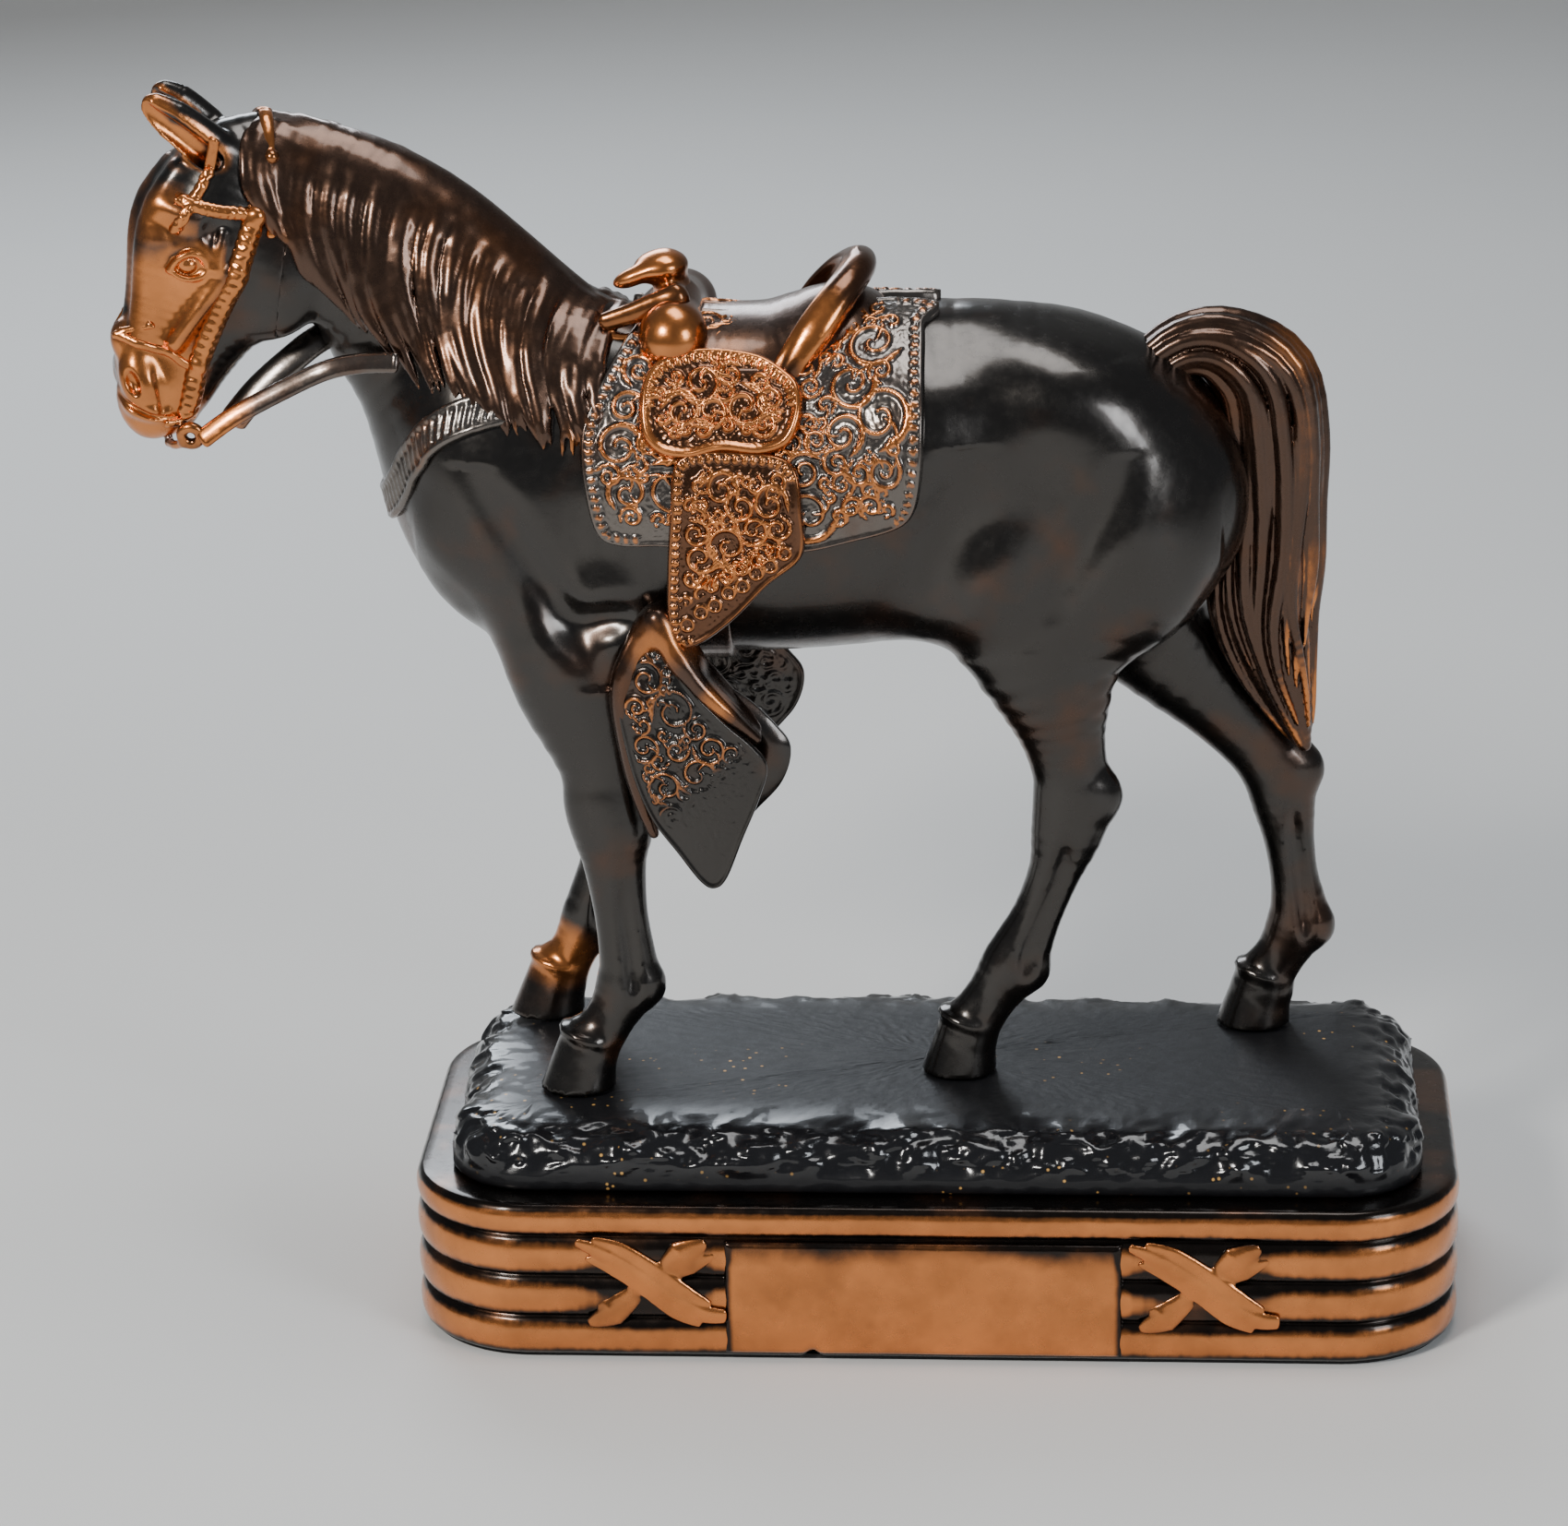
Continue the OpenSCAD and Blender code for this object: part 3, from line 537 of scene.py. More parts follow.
def blend_colour(tree, factor, a, b):
    """A mix of two colours; each is an RGB triple or a socket."""
    made = node(tree, "ShaderNodeMix", data_type="RGBA")
    tree.links.new(factor, made.inputs[0])
    for socket, value in ((made.inputs[6], a), (made.inputs[7], b)):
        if isinstance(value, bpy.types.NodeSocket):
            tree.links.new(value, socket)
        else:
            socket.default_value = (*value, 1)
    return made.outputs[2]


def number(tree, operation, a, b=0.0, c=0.0):
    """One sum on sockets or plain numbers."""
    made = node(tree, "ShaderNodeMath", operation=operation)
    for socket, value in zip(made.inputs, (a, b, c)):
        if isinstance(value, bpy.types.NodeSocket):
            tree.links.new(value, socket)
        else:
            socket.default_value = value
    return made.outputs[0]


def stretch(tree, value, low, high, out_low=0.0, out_high=1.0):
    """Remaps a value smoothly from one range to another."""
    made = node(tree, "ShaderNodeMapRange", interpolation_type="SMOOTHSTEP")
    tree.links.new(value, made.inputs[0])
    for socket, number_in in zip(made.inputs[1:5], (low, high, out_low, out_high)):
        socket.default_value = number_in
    return made.outputs[0]


def bump(tree, shader, heights):
    """Fine surface relief from (height socket, strength, distance in metres) layers."""
    below = None
    for height, strength, distance in heights:
        made = node(tree, "ShaderNodeBump", Strength=strength, Distance=distance)
        tree.links.new(height, made.inputs["Height"])
        if below:
            tree.links.new(below, made.inputs["Normal"])
        below = made.outputs["Normal"]
    tree.links.new(below, shader.inputs["Normal"])


def plated(name, dark, brown, copper, gloss=0.26, wear_low=0.38, wear_high=0.72, grain=0.12):
    """Plated metal: a dark coat over copper, which shows where the rub_and_painted_light attribute is high:
    mostly real rubbing, and on the plinth's lashings also a painted highlight.
    """
    material, tree, shader = new_material(name)
    coords = node(tree, "ShaderNodeTexCoord")
    rub_and_painted_light = node(tree, "ShaderNodeAttribute", attribute_name="rub_and_painted_light").outputs["Fac"]
    broad = noise(tree, coords, 55.0, 3.0)
    fine = noise(tree, coords, 420.0, 5.0, 0.65)
    patchy = number(tree, "MULTIPLY_ADD", broad, 0.5, number(tree, "MULTIPLY_ADD", fine, 0.12, -0.31))
    # the copper shows where the attribute is high: real rubbing, and on the plinth's lashings a painted
    # highlight
    worn = stretch(tree, number(tree, "ADD", rub_and_painted_light, patchy), wear_low, wear_high)
    coat = blend_colour(tree, stretch(tree, broad, 0.5, 0.74), dark, brown)
    deep = tuple(c * 0.72 for c in copper)
    bare = blend_colour(tree, stretch(tree, noise(tree, coords, 95.0, 4.0), 0.3, 0.7), deep, copper)
    tree.links.new(blend_colour(tree, worn, coat, bare), shader.inputs["Base Color"])
    shader.inputs["Metallic"].default_value = 0.96
    rough = stretch(tree, fine, 0.3, 0.75, gloss - 0.03, gloss + 0.06)
    tree.links.new(rough, shader.inputs["Roughness"])
    shader.inputs["Coat Weight"].default_value = 0.35
    shader.inputs["Coat Roughness"].default_value = 0.12
    bump(tree, shader, [(noise(tree, coords, 260.0, 3.0), grain, 0.0004),
                        (noise(tree, coords, 1500.0, 4.0), grain * 0.7, 0.0001)])
    return material


def black_enamel(name, colour):
    """Glossy black rock with specks of the copper beneath."""
    material, tree, shader = new_material(name)
    coords = node(tree, "ShaderNodeTexCoord")
    cells = node(tree, "ShaderNodeTexVoronoi", Scale=420.0)
    tree.links.new(coords.outputs["Object"], cells.inputs["Vector"])
    patches = stretch(tree, noise(tree, coords, 30.0, 2.0), 0.5, 0.62)
    speck = number(tree, "MULTIPLY", stretch(tree, cells.outputs["Distance"], 0.16, 0.07), patches)
    worn = number(tree, "MULTIPLY", speck,
                  node(tree, "ShaderNodeAttribute", attribute_name="rub_and_painted_light").outputs["Fac"])
    tone = blend_colour(tree, noise(tree, coords, 90.0), colour, tuple(c * 1.8 for c in colour))
    tree.links.new(blend_colour(tree, worn, tone, (0.75, 0.42, 0.12)), shader.inputs["Base Color"])
    shader.inputs["Metallic"].default_value = 0.1
    shader.inputs["Specular IOR Level"].default_value = 0.3
    gloss = node(tree, "ShaderNodeAttribute", attribute_name="gloss").outputs["Fac"]
    satin = number(tree, "MULTIPLY_ADD", gloss, -0.34, 0.46)
    tree.links.new(number(tree, "MULTIPLY_ADD", noise(tree, coords, 500.0), 0.12, satin),
                   shader.inputs["Roughness"])
    tree.links.new(number(tree, "MULTIPLY", gloss, 0.7), shader.inputs["Coat Weight"])
    shader.inputs["Coat Roughness"].default_value = 0.08
    bump(tree, shader, [(noise(tree, coords, 520.0, 5.0, 0.6), 0.25, 0.0004)])
    return material


def felt_cloth(name, colour):
    """Short matted fibres."""
    material, tree, shader = new_material(name)
    coords = node(tree, "ShaderNodeTexCoord")
    fibres = noise(tree, coords, 1800.0, 6.0, 0.75)
    tree.links.new(blend_colour(tree, fibres, colour, tuple(c * 2.2 for c in colour)),
                   shader.inputs["Base Color"])
    shader.inputs["Roughness"].default_value = 0.95
    bump(tree, shader, [(fibres, 0.8, 0.0004)])
    return material


def zinc(name):
    """Bright plated steel with faint turning marks."""
    material, tree, shader = new_material(name)
    coords = node(tree, "ShaderNodeTexCoord")
    marks = node(tree, "ShaderNodeTexWave", Scale=700.0, Distortion=2.0, bands_direction="Z")
    tree.links.new(coords.outputs["Object"], marks.inputs["Vector"])
    spots = noise(tree, coords, 260.0)
    tree.links.new(blend_colour(tree, spots, (0.46, 0.46, 0.44), (0.62, 0.63, 0.62)),
                   shader.inputs["Base Color"])
    shader.inputs["Metallic"].default_value = 1.0
    tree.links.new(stretch(tree, spots, 0.3, 0.7, 0.28, 0.5), shader.inputs["Roughness"])
    bump(tree, shader, [(marks.outputs["Fac"], 0.15, 0.0001)])
    return material


def wear(clay, points, reach=0.9):
    """How proud each place on the skin stands: above 0 on ridges, below 0 in creases."""
    ways = clay.normal(points, max(reach * 0.5, clay.cell))
    crease = 1 - clay.sample(points + ways * reach) / reach
    ridge = 1 + clay.sample(points - ways * reach) / reach
    return np.clip(ridge, 0, 1.2) - 1.3 * np.clip(crease, 0, 1)


def blobs(points, places):
    """How strongly each point is rubbed, from (centre, reach, strength) places."""
    out = np.zeros(len(points))
    for centre, reach, strength in places:
        gap = np.linalg.norm(points - np.array(centre, float), axis=1) / reach
        out = np.maximum(out, strength * np.exp(-gap**2))
    return out


# ---------------------------------------------------------------- hair

def neck_frame(x, z):
    """For places in the XZ plane: the near side point of the neck's oval and its outward way."""
    line = smooth([[-52, 0, 138, 31, 19]] + NECK, 6)
    gap = (x[:, None] - line[:, 0])**2 + (z[:, None] - line[:, 2])**2
    near = line[np.argmin(gap, 1)]
    u = np.stack([x - near[:, 0], z - near[:, 2]], 1)
    share = np.clip(np.linalg.norm(u, axis=1) / (near[:, 3] + 1.0), 0, 0.999)
    height = np.sqrt(1 - share**2)
    spot = np.stack([x, np.full(len(x), HORSE_Y) - near[:, 4] * height, z], 1)
    way = unit(np.stack([u[:, 0] / near[:, 3]**2, -height / near[:, 4], u[:, 1] / near[:, 3]**2], 1))
    return spot, way


def on_neck(clay, x, z, lift, far=False):
    """Places on the neck's skin, raised by lift; far mirrors them to the far side."""
    spot, way = neck_frame(np.asarray(x, float), np.asarray(z, float))
    if far:
        spot[:, 1] = 2 * HORSE_Y - spot[:, 1]
        way[:, 1] = -way[:, 1]
    hit = clay.strike(spot + way * 14, -way, 30)
    return hit + way * np.broadcast_to(lift, (len(hit),))[:, None]


CREST = [[-113.5, 206], [-107, 206.6], [-101.6, 205.6], [-93.9, 203.2], [-86.3, 199.6], [-78.7, 194.6],
         [-71.2, 188.2], [-63.7, 181.4], [-57.6, 176.2], [-53.4, 172.8]]
MANE_EDGE = [[-109.5, 191], [-104, 184], [-99.5, 175], [-93, 168.6], [-86, 164], [-79.5, 160.5],
             [-72, 157.5], [-66, 155.2], [-60.5, 153], [-56.4, 154.6]]


def mane_clay(body, count, cell, seed=5):
    """Locks that fall from the crest over both sides of the neck."""
    rng = random.Random(seed)
    clay = Clay([-120, HORSE_Y - 24, 148], [-48, HORSE_Y + 16, 212], cell)
    crest, edge = smooth(CREST, 6), smooth(MANE_EDGE, 6)
    for far in (False, True):
        for i in range(count if not far else count // 2):
            s = (i + 0.5 + rng.uniform(-0.4, 0.4)) / (count if not far else count // 2)
            reach = 1.0 if not far else rng.uniform(0.35, 0.55)
            start = np.array([np.interp(s * (len(crest) - 1), range(len(crest)),
                                        crest[:, k]) for k in (0, 1)])
            s2 = min(s + 0.02, 1)
            end = np.array([np.interp(s2 * (len(edge) - 1), range(len(edge)), edge[:, k]) for k in (0, 1)])
            end = start + (end - start) * reach * rng.uniform(0.9, 1.0)
            t = np.linspace(0, 1, 18)
            way = end - start
            side = np.array([-way[1], way[0]]) / np.linalg.norm(way)
            bow = 0.16 * np.linalg.norm(way) * np.sin(math.pi * t**0.8)
            wave = rng.uniform(0.25, 0.8) * np.sin(2 * math.pi * (t * rng.uniform(1.0, 1.9)
                    + rng.random())) * t
            path = start + np.outer(t, way) + np.outer(-bow + wave, side)
            lift = 0.45 + (0.5 * rng.random() + 0.45 * (i // 4 % 2)) * t - 0.9 * np.maximum(t
                    - 0.85, 0) / 0.15
            lift = lift - 1.5 * np.maximum(0.4 - t, 0) / 0.4
            points = on_neck(body, path[:, 0], path[:, 1], lift, far)
            size = rng.uniform(0.6, 1.4)
            radius = size * (1.25 - 0.35 * t) * np.sqrt(np.clip(1.04 - t**6, 0.03, 1))
            clay.add(rod(points, radius, 0.85, (0.2, -0.9, 0.3)), 0.4)
    # the smooth roll along the crest
    for across_by, drop in ((0.0, 2.8), (-2.6, 4.2), (-4.6, 6.4)):
        ridge = np.stack([crest[:, 0], np.full(len(crest), HORSE_Y + across_by), crest[:, 1] - drop], 1)
        clay.add(rod(ridge, 3.3, 0.9), 1.8)
    return clay


TAIL = [
    [36, 0, 163.5, 4.2, 4.6], [42, 0.5, 167.4, 5, 5], [48.6, 1.2, 167, 6.6, 5.6], [55, 2.2, 161.2, 9, 6],
    [57, 3, 151, 9.2, 6.2], [57, 3.6, 140, 9, 6.2], [56.2, 4, 130, 10, 6], [56, 4.6, 120, 9.6, 5.8],
    [58, 5.4, 110, 7.6, 5.2], [61, 6, 101, 4.4, 3.8], [63.2, 6.4, 94.5, 1.6, 1.8],
]


def tail_clay(count, cell, seed=11):
    """A solid tail with locks laid round it."""
    rng = random.Random(seed)
    clay = Clay([30, HORSE_Y - 9, 88], [74, HORSE_Y + 17, 180], cell)
    core = smooth(TAIL, 4)
    points, depth, width, a, b = limb(TAIL, 4)
    clay.add((points, depth, width, a * 0.8, b * 0.8), 0)
    n = len(core)
    t = np.linspace(0, 1, n)
    for i in range(count):
        angle = 2 * math.pi * (i + rng.uniform(-0.3, 0.3)) / count
        twist = rng.uniform(-0.3, 0.3)
        turn = angle + twist * t + 0.13 * np.sin(2 * math.pi * (t * rng.uniform(1.2, 2.4)
                + rng.random())) * np.sqrt(t)
        out = rng.uniform(0.82, 0.97)
        first = 0 if rng.random() < 0.6 else rng.randrange(0, n // 3)
        last = n - rng.randrange(0, n // 4 + 1)
        path = points + depth * (a * out * np.cos(turn))[:,
                None] + width * (b * out * np.sin(turn))[:, None]
        part = path[first:last]
        u = np.linspace(0, 1, len(part))
        size = rng.uniform(0.8, 1.7)
        radius = size * np.sqrt(np.clip(1.03 - u**4, 0.03, 1)) * (0.65
                + 0.35 * np.sin(math.pi * np.clip(u * 1.1, 0, 1)))
        clay.add(rod(part, radius, 1.0), 0.35)
    return clay


# ---------------------------------------------------------------- tooled leather

GIRTH_Z = 147.0
GIRTH_MM = 0.45


def around(degrees):
    """Outward way round the barrel, degrees up from level on the near side."""
    a = np.radians(degrees)
    return np.stack([np.zeros_like(a), -np.cos(a), np.sin(a)], -1)


class Wrap:
    """A patch of skin that flat plans are laid on: plan places (u, v) in mm go to space."""

    def __init__(self, low, high, find, count=44):
        """Finds the surface under a grid of plan places once."""
        self.low, self.high = np.array(low, float), np.array(high, float)
        u = np.linspace(low[0], high[0], count)
        v = np.linspace(low[1], high[1], count)
        uu, vv = np.meshgrid(u, v, indexing="ij")
        self.spots, self.ways = find(uu.ravel(), vv.ravel())
        self.spots = self.spots.reshape(count, count, 3)
        self.ways = self.ways.reshape(count, count, 3)
        self.count = count

    def __call__(self, plan, height):
        """Plan places and heights, turned into places on the surface."""
        at = (plan - self.low) / (self.high - self.low) * (self.count - 1)
        at = np.clip(at, 0, self.count - 1.001)
        i = at.astype(int)
        f = at - i
        spot, way = 0.0, 0.0
        for dx in (0, 1):
            for dy in (0, 1):
                weight = (np.abs(1 - dx - f[:, 0]) * np.abs(1 - dy - f[:, 1]))[:, None]
                spot = spot + weight * self.spots[i[:, 0] + dx, i[:, 1] + dy]
                way = way + weight * self.ways[i[:, 0] + dx, i[:, 1] + dy]
        return spot + unit(way) * np.broadcast_to(height, (len(plan),))[:, None]


def closed_curve(outline, count):
    """A smooth closed curve through an outline, as evenly spaced points."""
    s = np.array(outline, float)
    n = len(s)
    raw = []
    for i in range(n):
        a, b, c, d = s[i - 1], s[i], s[(i + 1) % n], s[(i + 2) % n]
        for t in np.arange(8) / 8:
            raw.append(0.5 * (2 * b + (c - a) * t + (2 * a - 5 * b + 4 * c - d) * t**2
                              + (3 * b - a - 3 * c + d) * t**3))
    raw = np.array(raw + [raw[0]])
    run = np.concatenate([[0], np.cumsum(np.linalg.norm(np.diff(raw, axis=0), axis=1))])
    at = np.linspace(0, run[-1], count, endpoint=False)
    return np.stack([np.interp(at, run, raw[:, k]) for k in (0, 1)], 1), run[-1]


def rough(points, scale, detail=4):
    """Rolling noise, about -1 to 1, at each point."""
    return np.array([fractal_noise(Vector(p) * scale, 1.0, 2.0, detail) for p in points])


def edge_gap(plan, edge, length):
    """Distance from each plan place to the edge, and how far round the edge that is."""
    gap = np.empty(len(plan))
    run = np.empty(len(plan))
    for k in range(0, len(plan), 4000):
        d = ((plan[k:k + 4000, None] - edge[None])**2).sum(2)
        near = np.argmin(d, 1)
        gap[k:k + 4000] = np.sqrt(d[np.arange(len(near)), near])
        run[k:k + 4000] = near * length / len(edge)
    return gap, run


def inside(edge, place):
    """True where a plan place is within the closed edge."""
    x, y = place
    nxt = np.roll(edge, -1, axis=0)
    crosses = (edge[:, 1] > y) != (nxt[:, 1] > y)
    at = (nxt[:, 0] - edge[:, 0]) * (y - edge[:, 1]) / (nxt[:, 1] - edge[:, 1] + 1e-12) + edge[:, 0]
    return bool(np.sum(crosses & (x < at)) % 2)


FILLERS = [2.6] * 7 + [2.0] * 9 + [1.5] * 12 + [1.1] * 12


def scroll_strokes(edge, margin, sizes, seed):
    """Carver's scrolls that fill an outline: strokes as (points, width) pairs."""
    rng = random.Random(seed)
    low, high = edge.min(0), edge.max(0)
    placed = []
    strokes = []
    for size in list(sizes) + FILLERS:
        for _ in range(140):
            c = np.array([rng.uniform(low[0], high[0]), rng.uniform(low[1], high[1])])
            if np.min(np.linalg.norm(edge - c, axis=1)) < size * 0.9 + margin or not inside(edge, c):
                continue
            if all(np.linalg.norm(c - p) > (size + r) * 0.8 for p, r in placed):
                placed.append((c, size))
                break
    for k, (c, size) in enumerate(placed):
        hand = 1 if k % 2 else -1
        start = rng.uniform(0, 2 * math.pi)
        t = np.linspace(0, 1, 60)
        turn = start + hand * t * 2 * math.pi * (1.25 if size > 1.6 else 0.8)
        r = size * (1 - 0.82 * t)
        strokes.append((c + np.stack([np.cos(turn), np.sin(turn)], 1) * r[:, None], 0.4 * (1.15 - 0.5 * t)))
        lobes = int(size * 2.4)
        for j in range(lobes):
            a = start - hand * (0.35 + j * 1.9 / max(lobes, 1))
            u = np.linspace(0, 1, 16)
            ang = a + hand * 0.75 * u
            rr = size * (1.18 - 0.34 * u)
            strokes.append((c + np.stack([np.cos(ang), np.sin(ang)], 1) * rr[:, None],
                            0.32 * np.sin(math.pi * (0.15 + 0.8 * u))))
        others = sorted(placed, key=lambda p: np.linalg.norm(p[0] - c))
        if len(others) > 1:
            aim = others[1][0]
            u = np.linspace(0.12, 0.88, 26)
            way = aim - c
            side = np.array([-way[1], way[0]])
            stem = c + np.outer(u, way) + np.outer(0.28 * hand * np.sin(math.pi * u), side)
            strokes.append((stem, 0.24 * np.sin(math.pi * (0.1 + 0.8 * u)) + 0.06))
    return strokes


def stroke_relief(plan, strokes):
    """Height of the strokes at each plan place, 0 to 1."""
    out = np.zeros(len(plan))
    for points, width in strokes:
        low, high = points.min(0) - 1.0, points.max(0) + 1.0
        pick = np.where(np.all((plan > low) & (plan < high), axis=1))[0]
        if len(pick) == 0:
            continue
        d = np.linalg.norm(plan[pick, None] - points[None], axis=2) / width[None]
        out[pick] = np.maximum(out[pick], np.max(np.exp(-d**2) * np.minimum(width / 0.3, 1)[None], 1))
    return out


def tooled(plan, edge, length, style):
    """Height over the plain leather, and how much it is rubbed."""
    gap, run = edge_gap(plan, edge, length)
    rim = style.get("rim", 0.35) * np.exp(-((gap
                                             - style.get("rim_in", 0.7)) / style.get("rim_wide", 0.55))**2)
    margin = style.get("margin", 1.8)
    beads = 0.0
    if style.get("beads"):
        size = style["beads"]
        phase = (run / (2.1 * size) % 1 - 0.5) * 2.1 * size
        dome = 1 - ((gap - margin - size * 0.6) / size)**2 - (phase / (size * 0.95))**2
        keep = 1.0
        if style.get("beads_where") is not None:
            keep = style["beads_where"](plan)
        beads = 0.5 * np.sqrt(np.clip(dome, 0, None)) * keep
        margin += size * 1.7
    strokes = scroll_strokes(edge, margin, style.get("scrolls", []), style.get("seed", 1))
    field = stroke_relief(plan, strokes) * style.get("carve", 0.6)
    if style.get("scrolls_where") is not None:
        field = field * style["scrolls_where"](plan)
    rings = 0.0
    if style.get("stamps") is not None:
        for c in style["stamps"]:
            d = np.linalg.norm(plan - np.array(c), axis=1)
            rings = rings + 0.45 * np.exp(-((d - 1.05) / 0.32)**2) + 0.25 * np.exp(-(d / 0.35)**2)
    ground = rough(np.column_stack([plan, np.zeros(len(plan))]), 1.5, 2)
    field = field + style.get("stipple", 0.09) * ground * (1 - np.clip(field / 0.3, 0, 1))
    height = rim + beads + field * np.clip((gap - 1.2) / 0.8, 0, 1) + rings
    round_off = np.sqrt(np.clip(1 - (1 - np.clip(gap / 0.7, 0, 1))**2, 0, 1))
    return height, round_off, np.clip(height / 0.55, 0, 1)


def leather(name, outline, centre, place, lift, thick, style, material, rubbed=(0.2, 0.9),
            rings=80, spokes=360):
    """A cut leather with rolled edge and tooling, laid on a Wrap."""
    edge, length = closed_curve(outline, spokes)
    centre = np.array(centre, float)
    share = np.linspace(0, 1, rings + 1)[1:]
    share = 1 - (1 - share)**1.15
    plan = np.concatenate([[centre],
                           (centre + (edge - centre)[None] * share[:, None, None]).reshape(-1, 2)])
    height, round_off, rub_and_painted_light = tooled(plan, edge, length, style)
    top = place(plan, lift + thick * (0.25 + 0.75 * round_off) + height * round_off)
    under_share = np.array([1.0, 0.7, 0.35])
    under_plan = np.concatenate([(centre + (edge - centre)[None] * under_share[:, None, None]).reshape(-1,
            2), [centre]])
    under = place(under_plan, lift)
    points = np.concatenate([top, under])
    m, base = spokes, len(top)
    k = np.arange(m)
    nxt = (k + 1) % m
    faces = [(0, 1 + int(i), 1 + int(j)) for i, j in zip(k, nxt)]
    for row in range(rings - 1):
        a = 1 + row * m
        faces += np.stack([a + k, a + m + k, a + m + nxt, a + nxt], 1).tolist()
    a = 1 + (rings - 1) * m
    for first, second in ((a, base), (base, base + m), (base + m, base + 2 * m)):
        faces += np.stack([first + k, second + k, second + nxt, first + nxt], 1).tolist()
    faces += [(base + 2 * m + int(i), base + 3 * m, base + 2 * m + int(j)) for i, j in zip(k, nxt)]
    piece = make_mesh(name, points, faces, material)
    low, high = rubbed
    paint(piece, "rub_and_painted_light", np.concatenate([low + (high - low) * rub_and_painted_light, np.full(len(under), low)]))
    return piece


# ---------------------------------------------------------------- saddle

SKIRT = [[-2, 86], [-1.2, 70], [-1, 52], [-0.8, 27], [-1.4, 8], [-2.8, -5], [-6, -10.5], [-13.5, -15],
         [-21.3, -18.5],
         [-33, -19], [-44.4, -18], [-52, -18.5], [-56, -13], [-58, 9], [-58.3, 27], [-56.4, 41],
         [-53, 58], [-50, 72],
         [-47, 85]]
JOCKEY = [[-47, 51], [-43.5, 57], [-37, 60], [-29, 58], [-24, 51], [-21.4, 44], [-21, 33], [-23.2, 22.5],
          [-28, 18.5], [-34.5, 19.5], [-40, 17], [-45, 19], [-48, 27], [-48.4, 41]]
FENDER = [[-41.6, 154.2], [-43.2, 145], [-43.9, 135], [-44, 127], [-42.6, 122.4], [-38.6, 123],
          [-33, 127.2],
          [-27, 133.4], [-21.2, 138.6], [-21, 146], [-22.6, 153.6], [-31, 155.4]]
LEAF = [[-46.4, 126.2], [-51, 119], [-53.2, 113.6], [-51.8, 105], [-50, 98], [-47.2, 91.6],
        [-43.2, 86.2], [-39.4, 81],
        [-37, 79.7], [-34.8, 81.6], [-32, 88.6], [-29.2, 95.4], [-27.6, 101.4], [-30, 105.4],
        [-34.6, 109.8], [-40, 115.6],
        [-43.4, 121.6]]


def barrel_wrap(clay, low, high, side):
    """Plan places are (x, mm up round the barrel), over the near (-1) or far (1) side."""
    def find(u, v):
        way = around(v / GIRTH_MM)
        way[:, 1] *= -side
        middle = np.stack([u, np.full(len(u), HORSE_Y), np.full(len(u), GIRTH_Z)], 1)
        return clay.strike(middle + way * 40, -way, 38), way
    return Wrap(low, high, find)


def hanging_wrap(clay, low, high, side, straight=146.0):
    """Plan places are (x, z); the leather follows the barrel down to its widest part, then hangs."""
    def find(u, v):
        level = np.maximum(v, straight)
        way = np.tile([0.0, float(side), 0.0], (len(u), 1))
        start = np.stack([u, np.full(len(u), HORSE_Y + side * 40), level], 1)
        hit = clay.strike(start, -way, 38)
        tilt = np.clip((level - straight) / 14, 0, 1)
        hit[:, 2] = v
        return hit, unit(way + np.stack([0 * u, 0 * u, tilt * 0.5], 1))
    return Wrap(low, high, find)


def degrees_to_mm(outline):
    """An outline given in x and degrees round the barrel, in x and mm."""
    return [[x, a * GIRTH_MM] for x, a in outline]


def leaf_wrap(side, out):
    """A tapadero leaf: out is 1 for the outer leaf and -1 for the inner; it bellies outward."""
    def find(u, v):
        across = np.clip((u + 52.5) / 25, 0, 1)
        down = np.clip((126 - v) / 49, 0, 1)
        belly = 3.4 * np.sqrt(np.clip(np.sin(math.pi * np.clip(across * 0.82 + 0.02, 0, 1)), 0, 1))
        gather = 1 - 0.72 * np.exp(-(down / 0.16)**2)
        y = HORSE_Y + side * (22.4 + out * (0.6 + belly * gather) + 2.2 * down * (1 - down))
        way = np.stack([-0.5 * (0.45 - across), np.full(len(u), float(side * out)), 0.25 * (0.5 - down)], 1)
        return np.stack([u, y, v], 1), unit(way)
    return Wrap([-56, 74], [-24, 129], find)


